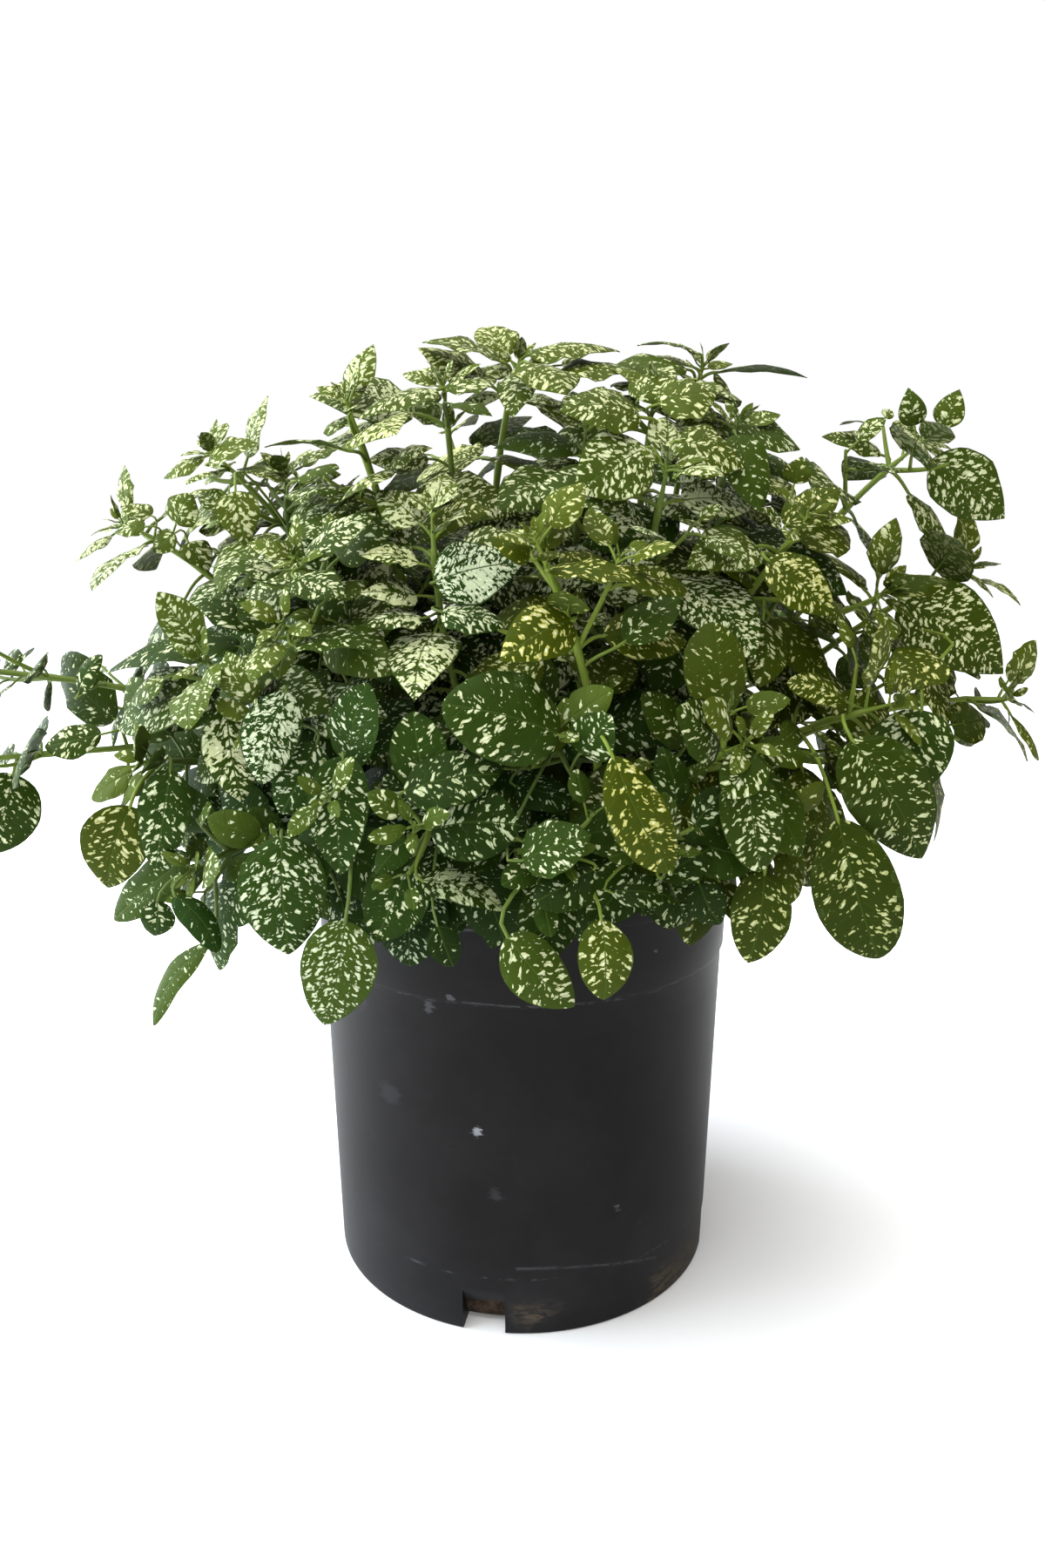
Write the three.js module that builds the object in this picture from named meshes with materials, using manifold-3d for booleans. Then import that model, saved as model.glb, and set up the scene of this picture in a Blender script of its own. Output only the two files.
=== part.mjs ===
// Potted polka dot plant: a black nursery pot, its potting mix and one solid for each leafy stem.
// Millimetres, +Z up, -Y to the front. The origin is the centre of the pot's base on the floor.

import * as THREE from 'three';
import { mergeVertices } from 'three/addons/utils/BufferGeometryUtils.js';
import Module from 'manifold-3d';

const wasm = await Module();
wasm.setup();

const UP = new THREE.Vector3(0, 0, 1);
const FRONT = new THREE.Vector3(0, -1, 0);

// Pot: a plain tapered wall with a step and a proud lip, standing on a flat base.
const POT_SIDES = 32;
const POT_HEIGHT = 161;
const BASE_RADIUS = 75;
const RIM_RADIUS = 82.5;
const WALL = 1.6;
const FLOOR_TOP = 3;
const HEEL_RADIUS = 69.8;
const HEEL_HEIGHT = 20;
const HEEL_BLEND = 6;
const STEP_HEIGHT = 127;
const STEP_RADIUS = 78.7;
const STEP_RISE = 1.2;
const STEP_PROUD = 0.9;
const LIP_HEIGHT = 8;
const LIP_NECK_RADIUS = 80.1;

// Drain notches through the foot of the wall, the first one left of the front.
const NOTCH_COUNT = 4;
const NOTCH_FIRST_DEG = -100.7;
const NOTCH_WIDTH = 15.5;
const NOTCH_HEIGHT = 11;
const NOTCH_RECESS_HEIGHT = 16;
const NOTCH_RECESS_DEPTH = 3;
const NOTCH_INNER_RADIUS = 62;

// Potting mix: fills the pot to below the lip, 0.35 mm clear of it.
const CLEARANCE = 0.35;
const MIX_EDGE_HEIGHT = 145;
const MIX_CROWN = 2.5;
const MIX_BUMP = 0.9;
const MIX_TOP = MIX_EDGE_HEIGHT + MIX_CROWN + MIX_BUMP;
const ROOT_DEPTH = 22;
const COLLAR_HEIGHT = MIX_TOP + 1;
const MIX_RINGS = [36];

// Stems are three-sided and taper from the root to the tip. Radii reach to the corners.
const ROOT_RINGS = { inner: 15, middle: 35, outer: 56 };
const ROOT_SPACING = 8;
const ROOT_TURN_DEG = 8;
const ROOT_TURNS = 40;
const STEM_CORNERS_DEG = [90, 210, 330];
const STEM_STEPS = 6;
const STEM_ROOT_RADIUS = 2.6;
const STEM_TIP_RADIUS = 1.5;
const STEM_GAP = 1.2;
const STEM_BENDS = [0, 7, -7, 14, -14, 21, -21, 28, -28, 36, -36];

// Leaves stand in opposite pairs, each pair a quarter turn from the last one.
const LEAF_GAP = 0.35;
const BLADE_THICKNESS = 1.2;
const STALK_RADIUS = 1.15;
const STALK_SINK = 0.4;
const PAIR_SIZES = [0.5, 0.86, 1, 1.02, 0.98, 0.9];
const PAIR_LIFTS_DEG = [32, 14, 5, 0, -4, -8];
const LEAF_SLENDERNESS = 0.7;
const LEAF_ARCH = 0.09;
const OPEN_FACE_DEPTH = 45;
const YAW_TRIES_DEG = [0, 16, -16, 32, -32];
const LIFT_TRIES_DEG = [0, 15, -15];
const SIZE_TRIES = [1, 0.88, 0.76];
const POSED_SHIFTS = [0, 2, -2, 4, -4, 6, -6, 9, -9, 12];

// Half width of a blade at stations along its length, as a share of the full half width.
const BLADE_SECTIONS = [[0.3, 0.96], [0.64, 0.74]];
const POSED_SECTIONS = [[0.17, 0.76], [0.44, 1], [0.73, 0.64]];

// Shoots: growing tip, direction of growth at the tip, root ring, leaf pairs and leaf length.
const SHOOTS = [
  { id: 'crown_front', tip: [-1, -44, 336], aim: [0.3, 0, 1], ring: 'inner', pairs: 4, leaf: 37 },
  { id: 'crown_right', tip: [62, -26, 338], aim: [0.25, 0, 1], ring: 'middle', pairs: 4, leaf: 35 },
  { id: 'crown_mid', tip: [42, -56, 326], aim: [0.1, -0.1, 1], ring: 'middle', pairs: 4, leaf: 35 },
  { id: 'star', tip: [-54, -72, 320], aim: [-0.35, -0.1, 1], ring: 'middle', pairs: 6, leaf: 35 },
  { id: 'crown_left', tip: [-25, -58, 327], aim: [-0.1, 0, 1], ring: 'inner', pairs: 4, leaf: 36 },
  { id: 'left_high', tip: [-104, -42, 308], aim: [-0.8, 0, 0.7], ring: 'middle', pairs: 4, leaf: 31 },
  { id: 'left_fork', tip: [-78, -46, 302], aim: [0.1, 0, 1], ring: 'middle', pairs: 3, leaf: 34 },
  { id: 'left_cluster', tip: [-138, -35, 285], aim: [-0.9, 0, 0.4], ring: 'outer', pairs: 5, leaf: 31 },
  { id: 'cream_tip', tip: [-25, -109, 286], aim: [0, -0.1, 1], ring: 'middle', pairs: 4, leaf: 29 },
  {
    id: 'bright_stem', tip: [3, -117, 278], aim: [-0.45, 0, 0.9], ring: 'middle', pairs: 3, leaf: 29,
    rise: [30, -112, 175],
  },
  { id: 'upper_right', tip: [42, -92, 300], aim: [0.1, -0.3, 1], ring: 'middle', pairs: 4, leaf: 32 },
  { id: 'dark_right', tip: [66, -70, 314], aim: [0.2, -0.1, 1], ring: 'middle', pairs: 5, leaf: 35 },
  { id: 'yellow_right', tip: [84, -90, 285], aim: [0.5, -0.3, 0.8], ring: 'middle', pairs: 5, leaf: 32 },
  { id: 'far_right_high', tip: [133, -43, 311], aim: [0.8, 0, 0.6], ring: 'outer', pairs: 3, leaf: 30 },
  { id: 'far_right', tip: [151, -42, 270], aim: [0.9, 0, 0.45], ring: 'outer', pairs: 5, leaf: 37 },
  { id: 'far_right_low', tip: [166, -48, 226], aim: [1, 0, 0], ring: 'outer', pairs: 4, leaf: 32 },
  { id: 'right_arm', tip: [109, -102, 231], aim: [0.8, -0.4, 0.3], ring: 'outer', pairs: 4, leaf: 37 },
  { id: 'right_front', tip: [61, -129, 224], aim: [0.3, -0.8, 0.4], ring: 'outer', pairs: 4, leaf: 31 },
  { id: 'rim_right', tip: [39, -137, 196], aim: [0.3, -0.9, 0.1], ring: 'outer', pairs: 4, leaf: 24 },
  { id: 'rim_mid', tip: [11, -139, 194], aim: [0, -0.9, 0.1], ring: 'outer', pairs: 4, leaf: 24 },
  { id: 'rim_left', tip: [-29, -140, 203], aim: [-0.3, -0.8, 0.2], ring: 'outer', pairs: 4, leaf: 28 },
  { id: 'front_left', tip: [-52, -136, 210], aim: [-0.2, -0.9, 0.2], ring: 'outer', pairs: 4, leaf: 32 },
  { id: 'hang_left', tip: [-68, -128, 194], aim: [-0.4, -0.9, 0], ring: 'outer', pairs: 4, leaf: 31 },
  { id: 'low_left', tip: [-96, -114, 184], aim: [-0.6, -0.7, -0.2], ring: 'outer', pairs: 4, leaf: 30 },
  { id: 'left_round', tip: [-112, -104, 214], aim: [-0.8, -0.6, 0.1], ring: 'outer', pairs: 4, leaf: 32 },
  { id: 'left_face', tip: [-90, -112, 244], aim: [-0.6, -0.6, 0.5], ring: 'middle', pairs: 5, leaf: 35 },
  { id: 'left_arm_high', tip: [-191, -60, 238], aim: [-1, 0, 0.1], ring: 'outer', pairs: 5, leaf: 16 },
  { id: 'left_arm_low', tip: [-195, -62, 207], aim: [-1, 0, 0], ring: 'outer', pairs: 4, leaf: 29 },
  { id: 'left_star', tip: [-66, -118, 255], aim: [-0.3, -0.8, 0.6], ring: 'middle', pairs: 4, leaf: 31 },
  { id: 'left_olive', tip: [-64, -106, 273], aim: [-0.3, -0.6, 0.8], ring: 'middle', pairs: 4, leaf: 32 },
  { id: 'left_white', tip: [-73, -122, 228], aim: [-0.3, -0.9, 0.2], ring: 'outer', pairs: 4, leaf: 31 },
  { id: 'right_hang', tip: [76, -112, 194], aim: [0.6, -0.7, 0], ring: 'outer', pairs: 4, leaf: 32 },
  { id: 'mid_front', tip: [8, -127, 226], aim: [0.1, -0.8, 0.4], ring: 'outer', pairs: 4, leaf: 29 },
  { id: 'mid_high', tip: [20, -66, 314], aim: [0.1, -0.2, 1], ring: 'inner', pairs: 4, leaf: 34 },
  { id: 'side_right', tip: [112, -76, 262], aim: [0.8, -0.3, 0.5], ring: 'outer', pairs: 4, leaf: 35 },
];

// The hidden back carries shoots in three tiers, by a rule. Angles from +X, degrees.
const BACK_SHOOTS = [
  { count: 6, from: 6, to: 174, reach: [134, 136], height: 216, lean: 0.25, ring: 'outer' },
  { count: 4, from: 22, to: 158, reach: [98, 100], height: 278, lean: 0.7, ring: 'middle' },
  { count: 2, from: 50, to: 130, reach: [46, 42], height: 318, lean: 2, ring: 'inner' },
];
const BACK_PAIRS = 5;
const BACK_LEAF = 36;
const BACK_SCATTER = 9;

// Posed leaves: shoot, blade base, blade tip, width, and how far the face turns up from the front.
const POSED = [
  ['bright_stem', [10, -132, 226], [-21, -137, 235], 25, 0],
  ['bright_stem', [23, -139, 222], [39, -137, 190], 16, 0],
  ['bright_stem', [13, -126, 256], [-6, -134, 246], 16, 0],
  ['bright_stem', [7, -121, 269], [41, -121, 264], 15, 50],
  ['bright_stem', [28, -119, 250], [44, -113, 262], 14, 20],
  ['bright_stem', [2, -119, 272], [-9, -118, 278], 8, 20],
  ['cream_tip', [-24, -113, 266], [0, -107, 271], 20, 10],
  ['cream_tip', [-22, -118, 258], [-5, -119, 254], 15, 40],
  ['cream_tip', [-29, -109, 271], [-45, -109, 273], 13, 45],
  ['cream_tip', [-28, -112, 256], [-43, -117, 254], 12, 45],
  ['left_face', [-83, -98, 247], [-124, -95, 239], 20, 50],
  ['left_star', [-62, -121, 249], [-38, -125, 248], 16, 50],
  ['left_star', [-70, -111, 251], [-80, -107, 262], 13, 30],
  ['left_star', [-80, -100, 252], [-95, -94, 261], 12, 35],
  ['left_olive', [-61, -108, 271], [-41, -104, 285], 15, 45],
  ['left_olive', [-60, -112, 267], [-46, -119, 262], 15, 30],
  ['left_olive', [-69, -101, 269], [-90, -99, 270], 15, 50],
  ['left_white', [-64, -125, 237], [-71, -129, 212], 16, 0],
  ['left_white', [-82, -119, 232], [-78, -123, 206], 16, 0],
  ['left_white', [-57, -121, 222], [-67, -125, 203], 15, 0],
  ['left_round', [-114, -110, 202], [-124, -106, 176], 20, 0],
  ['left_round', [-101, -112, 213], [-107, -113, 183], 15, 10],
  ['low_left', [-103, -111, 186], [-129, -105, 164], 14, 20],
  ['low_left', [-107, -113, 174], [-110, -109, 162], 10, 0],
  ['low_left', [-99, -121, 178], [-86, -126, 163], 9, 20],
  ['low_left', [-91, -118, 163], [-110, -115, 136], 9, 40],
  ['hang_left', [-65, -134, 199], [-64, -136, 166], 24, 0],
  ['front_left', [-48, -137, 176], [-55, -135, 145], 21, 0],
  ['front_left', [-47, -126, 220], [-48, -130, 188], 17, 10],
  ['rim_left', [-32, -134, 211], [-6, -135, 216], 17, 20],
  ['rim_left', [-25, -137, 201], [-1, -140, 203], 21, 0],
  ['rim_left', [-27, -136, 187], [-5, -137, 179], 13, 40],
  ['rim_left', [-23, -138, 175], [-19, -137, 163], 9, 0],
  ['rim_mid', [-4, -141, 173], [14, -141, 153], 16, 0],
  ['rim_mid', [21, -141, 178], [22, -141, 155], 15, 0],
  ['rim_mid', [19, -139, 191], [3, -143, 183], 14, 20],
  ['mid_front', [0, -129, 194], [18, -129, 201], 16, 20],
  ['mid_front', [-2, -127, 210], [14, -127, 205], 13, 30],
  ['rim_right', [24, -137, 184], [39, -137, 183], 11, 30],
  ['rim_right', [38, -133, 187], [52, -128, 194], 12, 20],
  ['rim_right', [47, -130, 201], [56, -126, 211], 9, 0],
  ['rim_right', [49, -127, 184], [56, -125, 171], 11, 0],
  ['right_front', [59, -131, 217], [65, -131, 188], 17, 0],
  ['right_front', [63, -131, 221], [54, -136, 210], 13, 0],
  ['right_front', [64, -128, 222], [78, -124, 219], 13, 40],
  ['right_arm', [88, -123, 201], [102, -123, 160], 24, 0],
  ['right_arm', [86, -113, 223], [109, -110, 188], 24, 0],
  ['far_right', [121, -66, 260], [156, -66, 236], 27, 0],
  ['far_right', [126, -90, 243], [108, -96, 233], 18, 20],
  ['far_right_low', [117, -102, 229], [113, -103, 203], 23, 0],
  ['far_right_low', [102, -105, 231], [84, -106, 237], 11, 30],
  ['far_right_high', [136, -43, 305], [162, -43, 286], 22, 0],
  ['far_right_high', [130, -42, 316], [127, -42, 328], 9, 0],
  ['far_right_high', [135, -44, 315], [139, -44, 327], 10, 0],
  ['far_right_high', [124, -28, 308], [103, -28, 314], 12, 35],
  ['dark_right', [66, -68, 314], [87, -64, 306], 20, 35],
  ['dark_right', [64, -78, 309], [71, -84, 286], 16, 20],
  ['upper_right', [44, -84, 306], [64, -82, 299], 21, 22],
  ['upper_right', [36, -90, 304], [15, -97, 291], 23, 0],
  ['crown_right', [60, -28, 341], [39, -26, 344], 14, 62],
  ['crown_right', [66, -28, 335], [97, -29, 333], 9, 76],
  ['crown_mid', [36, -64, 321], [47, -58, 332], 17, 30],
  ['crown_mid', [41, -76, 318], [59, -72, 322], 20, 25],
  ['crown_mid', [33, -82, 313], [9, -88, 314], 18, 22],
  ['crown_front', [-7, -54, 334], [-32, -52, 340], 18, 50],
  ['crown_front', [2, -62, 332], [13, -80, 320], 22, 30],
  ['crown_front', [2, -48, 337], [32, -42, 339], 19, 48],
  ['crown_front', [13, -56, 331], [42, -48, 331], 19, 45],
  ['crown_left', [-26, -70, 323], [-49, -80, 313], 20, 48],
  ['crown_left', [-23, -68, 323], [-8, -62, 327], 17, 45],
  ['yellow_right', [78, -87, 282], [95, -83, 293], 14, 20],
  ['yellow_right', [71, -97, 272], [91, -99, 256], 18, 20],
  ['right_hang', [68, -124, 186], [65, -121, 158], 17, 0],
  ['left_high', [-85, -86, 292], [-82, -89, 276], 13, 0],
  ['left_high', [-106, -42, 306], [-120, -42, 299], 11, 45],
  ['left_high', [-102, -52, 303], [-85, -52, 309], 15, 40],
  ['star', [-52, -81, 304], [-77, -81, 305], 13, 72],
  ['star', [-54, -82, 293], [-71, -84, 290], 14, 55],
  ['left_arm_high', [-177, -60, 234], [-177, -62, 248], 9, 10],
  ['left_arm_high', [-141, -74, 231], [-132, -76, 243], 8, 30],
  ['left_arm_low', [-131, -84, 219], [-149, -84, 215], 12, 20],
  ['left_arm_low', [-171, -60, 202], [-182, -60, 174], 23, 0],
  ['crown_front', [0, -60, 329], [-3, -74, 314], 13, 10],
  ['crown_right', [55, -34, 335], [31, -36, 336], 20, 42],
  ['mid_high', [16, -62, 308], [-9, -68, 306], 17, 35],
  ['mid_high', [7, -60, 300], [-13, -64, 303], 15, 50],
  ['crown_left', [-21, -76, 318], [-9, -80, 314], 11, 45],
  ['left_fork', [-77, -50, 298], [-93, -52, 301], 15, 50],
  ['left_fork', [-72, -60, 297], [-57, -68, 300], 13, 50],
  ['yellow_right', [83, -75, 295], [85, -75, 303], 9, 10],
  ['left_cluster', [-125, -42, 287], [-136, -40, 290], 9, 30],
  ['left_cluster', [-124, -52, 283], [-135, -50, 281], 8, 25],
  ['left_cluster', [-115, -48, 284], [-109, -48, 294], 13, 20],
  ['left_cluster', [-115, -50, 281], [-125, -50, 273], 12, 20],
  ['left_cluster', [-110, -52, 278], [-103, -54, 269], 12, 20],
];

const COLOURS = {
  pot: 0x2c2c30,
  mix: 0x3b2b20,
  foliage: [0x4d7330, 0x5b7d2f, 0x47693a, 0x66822e],
};

// Repeatable scatter between 0 and 1 from up to three whole numbers.
function scatter(a, b = 0, c = 0) {
  const wave = Math.sin(a * 12.9898 + b * 78.233 + c * 37.719) * 43758.5453;
  return wave - Math.floor(wave);
}

function toVector(list) {
  return new THREE.Vector3(list[0], list[1], list[2]);
}

// Part of v at right angles to the unit vector axis, made unit length.
function square(v, axis) {
  return v.clone().addScaledVector(axis, -v.dot(axis)).normalize();
}

// Closed solid from points and triangles, turned inside out if its volume is negative.
function solidFrom(points, triangles) {
  const a = new THREE.Vector3();
  const b = new THREE.Vector3();
  const c = new THREE.Vector3();
  let volume = 0;
  for (let i = 0; i < triangles.length; i += 3) {
    a.fromArray(points, triangles[i] * 3);
    b.fromArray(points, triangles[i + 1] * 3);
    c.fromArray(points, triangles[i + 2] * 3);
    volume += a.dot(b.cross(c));
  }
  const mesh = new wasm.Mesh({
    numProp: 3,
    vertProperties: Float32Array.from(points),
    triVerts: Uint32Array.from(volume < 0 ? [...triangles].reverse() : triangles),
  });
  return new wasm.Manifold(mesh);
}

// Solid from a three.js geometry: shared corners merged, slivers at the poles dropped.
function solidOf(geometry) {
  geometry.deleteAttribute('normal');
  geometry.deleteAttribute('uv');
  const merged = mergeVertices(geometry, 1e-4);
  const index = merged.getIndex().array;
  const triangles = [];
  for (let i = 0; i < index.length; i += 3) {
    const [a, b, c] = [index[i], index[i + 1], index[i + 2]];
    if (a !== b && b !== c && c !== a) {
      triangles.push(a, b, c);
    }
  }
  return solidFrom(Array.from(merged.getAttribute('position').array), triangles);
}

// Solid through rings of points. The rings have equal counts, but an end may be a single point.
function loft(rings) {
  const points = [];
  const triangles = [];
  const starts = [];
  for (const ring of rings) {
    starts.push(points.length / 3);
    for (const p of ring) {
      points.push(p.x, p.y, p.z);
    }
  }
  const sides = rings[1].length;
  for (let i = 1; i < rings.length; i++) {
    const [low, high] = [starts[i - 1], starts[i]];
    for (let j = 0; j < sides; j++) {
      const next = (j + 1) % sides;
      if (rings[i - 1].length === 1) {
        triangles.push(low, high + next, high + j);
      } else if (rings[i].length === 1) {
        triangles.push(low + j, low + next, high);
      } else {
        triangles.push(low + j, low + next, high + next, low + j, high + next, high + j);
      }
    }
  }
  const last = starts[rings.length - 1];
  for (let j = 1; j + 1 < sides; j++) {
    if (rings[0].length > 1) {
      triangles.push(0, j + 1, j);
    }
    if (rings[rings.length - 1].length > 1) {
      triangles.push(last, last + j, last + j + 1);
    }
  }
  return solidFrom(points, triangles);
}

function meshOf(solid, name, material) {
  const result = solid.getMesh();
  const geometry = new THREE.BufferGeometry();
  geometry.setAttribute('position', new THREE.BufferAttribute(result.vertProperties, 3));
  geometry.setIndex(new THREE.BufferAttribute(result.triVerts, 1));
  geometry.computeVertexNormals();
  const mesh = new THREE.Mesh(geometry, material);
  mesh.name = name;
  return mesh;
}

// The pot.

function outerRadiusAt(z) {
  return BASE_RADIUS + (STEP_RADIUS - BASE_RADIUS) * z / STEP_HEIGHT;
}

// Inner wall from the floor to the lip, as [radius, height].
function innerProfile() {
  const blendTop = HEEL_HEIGHT + HEEL_BLEND;
  return [
    [HEEL_RADIUS, FLOOR_TOP],
    [HEEL_RADIUS, HEEL_HEIGHT],
    [outerRadiusAt(blendTop) - WALL, blendTop],
    [STEP_RADIUS - WALL, STEP_HEIGHT],
    [LIP_NECK_RADIUS - WALL, POT_HEIGHT - LIP_HEIGHT],
  ];
}

function innerRadiusAt(z) {
  const wall = innerProfile();
  const i = wall.findIndex((p) => p[1] > z);
  const share = (z - wall[i - 1][1]) / (wall[i][1] - wall[i - 1][1]);
  return wall[i - 1][0] + (wall[i][0] - wall[i - 1][0]) * share;
}

function lathe(profile) {
  const points = profile.map(([radius, height]) => new THREE.Vector2(radius, height));
  return new THREE.LatheGeometry(points, POT_SIDES).rotateX(Math.PI / 2);
}

function drainNotch(angle) {
  const inner = BASE_RADIUS - NOTCH_RECESS_DEPTH;
  const slope = (NOTCH_RECESS_HEIGHT - NOTCH_HEIGHT) / NOTCH_RECESS_DEPTH;
  const outer = RIM_RADIUS;
  const shape = new THREE.Shape([
    new THREE.Vector2(NOTCH_INNER_RADIUS, -1),
    new THREE.Vector2(outer, -1),
    new THREE.Vector2(outer, NOTCH_HEIGHT + slope * (outer - inner)),
    new THREE.Vector2(inner, NOTCH_HEIGHT),
    new THREE.Vector2(NOTCH_INNER_RADIUS, NOTCH_HEIGHT),
  ]);
  const cutter = new THREE.ExtrudeGeometry(shape, { depth: NOTCH_WIDTH, bevelEnabled: false });
  cutter.translate(0, 0, -NOTCH_WIDTH / 2).rotateX(Math.PI / 2).rotateZ(angle);
  return solidOf(cutter);
}

function buildPot() {
  const lipBottom = POT_HEIGHT - LIP_HEIGHT;
  let pot = solidOf(lathe([
    [0, 0],
    [BASE_RADIUS, 0],
    [STEP_RADIUS, STEP_HEIGHT],
    [STEP_RADIUS + STEP_PROUD, STEP_HEIGHT + STEP_RISE],
    [LIP_NECK_RADIUS, lipBottom],
    [RIM_RADIUS, lipBottom + 1],
    [RIM_RADIUS, POT_HEIGHT - 1],
    [RIM_RADIUS - 1, POT_HEIGHT],
    [LIP_NECK_RADIUS - WALL + 0.6, POT_HEIGHT],
    ...innerProfile().reverse(),
    [0, FLOOR_TOP],
  ]));
  for (let i = 0; i < NOTCH_COUNT; i++) {
    const angle = THREE.MathUtils.degToRad(NOTCH_FIRST_DEG + i * 360 / NOTCH_COUNT);
    pot = pot.subtract(drainNotch(angle));
  }
  return pot;
}

// The potting mix.

function mixHeightAt(x, y) {
  const radius = Math.hypot(x, y);
  const crown = MIX_CROWN * (1 - (radius / innerRadiusAt(MIX_EDGE_HEIGHT)) ** 2);
  const bump = MIX_BUMP * Math.sin(x * 0.11 + 1.3) * Math.cos(y * 0.13 - 0.4);
  return MIX_EDGE_HEIGHT + crown + bump;
}

// Plain hole for a stem's root, of the stem's own section.
function rootHole(shoot) {
  const radius = STEM_ROOT_RADIUS + CLEARANCE / Math.sin(Math.PI / 6);
  const bottom = MIX_EDGE_HEIGHT - ROOT_DEPTH - CLEARANCE;
  const { across, over } = stemFrame(shoot, 0);
  const rings = [bottom, POT_HEIGHT].map((height) => STEM_CORNERS_DEG.map((deg) => {
    const angle = THREE.MathUtils.degToRad(deg);
    return shoot.root.clone().setZ(height)
      .addScaledVector(across, radius * Math.cos(angle))
      .addScaledVector(over, radius * Math.sin(angle));
  }));
  return loft(rings);
}

function buildMix(shoots) {
  const wall = innerProfile().slice(0, 4).map(([r, z]) => [r - CLEARANCE, z]);
  wall[0][1] += CLEARANCE;
  wall[1][1] += CLEARANCE;
  wall[2][1] += CLEARANCE;
  const edge = innerRadiusAt(MIX_EDGE_HEIGHT) - CLEARANCE;
  const geometry = lathe([
    [0, wall[0][1]],
    ...wall,
    [edge, MIX_EDGE_HEIGHT],
    ...MIX_RINGS.map((radius) => [radius, MIX_EDGE_HEIGHT]),
    [0, MIX_EDGE_HEIGHT],
  ]);
  const position = geometry.getAttribute('position');
  for (let i = 0; i < position.count; i++) {
    if (Math.abs(position.getZ(i) - MIX_EDGE_HEIGHT) < 0.001) {
      position.setZ(i, mixHeightAt(position.getX(i), position.getY(i)));
    }
  }
  let mix = solidOf(geometry);
  for (const shoot of shoots) {
    mix = mix.subtract(rootHole(shoot));
  }
  return mix;
}

// Clearances between strands.

// A strand is a segment or a triangle with a radius round it, and the box that holds both.
function strand(corners, radius) {
  const box = new THREE.Box3().setFromPoints(corners).expandByScalar(radius);
  const edges = [];
  for (let i = 0; i < (corners.length === 2 ? 1 : 3); i++) {
    edges.push(new THREE.Line3(corners[i], corners[(i + 1) % corners.length]));
  }
  const face = corners.length === 3 ? new THREE.Triangle(...corners) : null;
  return { corners, radius, box, edges, face };
}

const closest = new THREE.Vector3();
const crossing = new THREE.Vector3();
const ray = new THREE.Ray();

function edgePierces(edge, face) {
  const length = edge.distance();
  ray.origin.copy(edge.start);
  edge.delta(ray.direction).divideScalar(length);
  const hit = ray.intersectTriangle(face.a, face.b, face.c, false, crossing);
  return hit !== null && hit.distanceTo(edge.start) <= length;
}

function tooClose(one, other, gap) {
  const least = one.radius + other.radius + gap;
  const reach = one.box.clone().expandByScalar(gap);
  if (!reach.intersectsBox(other.box)) {
    return false;
  }
  for (const a of one.edges) {
    for (const b of other.edges) {
      if (a.distanceSqToLine3(b, closest, crossing) < least * least) {
        return true;
      }
    }
  }
  for (const [near, far] of [[one, other], [other, one]]) {
    if (far.face === null) {
      continue;
    }
    for (const corner of near.corners) {
      far.face.closestPointToPoint(corner, closest);
      if (closest.distanceTo(corner) < least) {
        return true;
      }
    }
    if (near.edges.some((edge) => edgePierces(edge, far.face))) {
      return true;
    }
  }
  return false;
}

function groupBox(strands) {
  const box = new THREE.Box3();
  for (const s of strands) {
    box.union(s.box);
  }
  return box;
}

function groupsClash(one, other, gap) {
  if (!one.box.clone().expandByScalar(gap).intersectsBox(other.box)) {
    return false;
  }
  return one.strands.some((s) => other.strands.some((t) => tooClose(s, t, gap)));
}

// A point below the mix, inside the pot's wall or close to its lip counts as blocked.
function blockedByPot(point, margin) {
  const radius = Math.hypot(point.x, point.y);
  if (radius < BASE_RADIUS) {
    return point.z < MIX_TOP + margin;
  }
  return radius < RIM_RADIUS + margin && point.z < POT_HEIGHT + margin;
}

// The stems.

// Places for the root on its ring, from the tip's own azimuth outwards to both sides.
function rootSpots(shoot, placed) {
  const azimuth = Math.atan2(shoot.tip[1], shoot.tip[0]);
  const radius = ROOT_RINGS[shoot.ring];
  const spots = [];
  for (let i = 0; i < ROOT_TURNS; i++) {
    const turn = ROOT_TURN_DEG * Math.ceil(i / 2) * (i % 2 === 0 ? 1 : -1);
    const angle = azimuth + THREE.MathUtils.degToRad(turn);
    const spot = new THREE.Vector3(Math.cos(angle), Math.sin(angle), 0).multiplyScalar(radius);
    if (placed.every((other) => other.root.distanceTo(spot) >= ROOT_SPACING)) {
      spots.push(spot);
    }
  }
  return spots;
}

// Stations along the stem: the root's end, then a cubic Bezier curve from the collar, just above
// the mix, to the tip. The bend moves both control points sideways.
function stemStations(shoot, bend) {
  const root = shoot.root.clone().setZ(COLLAR_HEIGHT);
  const tip = toVector(shoot.tip);
  const outward = shoot.root.clone().normalize();
  const sideways = new THREE.Vector3(-outward.y, outward.x, 0);
  const span = tip.distanceTo(root);
  const aim = toVector(shoot.aim).normalize();
  const rise = shoot.rise
    ? toVector(shoot.rise)
    : root.clone().addScaledVector(outward, span * 0.12).addScaledVector(UP, span * 0.42);
  const fall = tip.clone().addScaledVector(aim, -span * 0.36);
  rise.addScaledVector(sideways, bend);
  fall.addScaledVector(sideways, bend * 0.6);
  const curve = new THREE.CubicBezierCurve3(root, rise, fall, tip);
  const stations = [root.clone().setZ(MIX_EDGE_HEIGHT - ROOT_DEPTH)];
  for (let i = 0; i <= STEM_STEPS; i++) {
    stations.push(curve.getPoint(i / STEM_STEPS));
  }
  return stations;
}

function stemRadius(index) {
  const share = Math.max(0, index - 1) / STEM_STEPS;
  return STEM_ROOT_RADIUS + (STEM_TIP_RADIUS - STEM_ROOT_RADIUS) * share;
}

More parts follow.
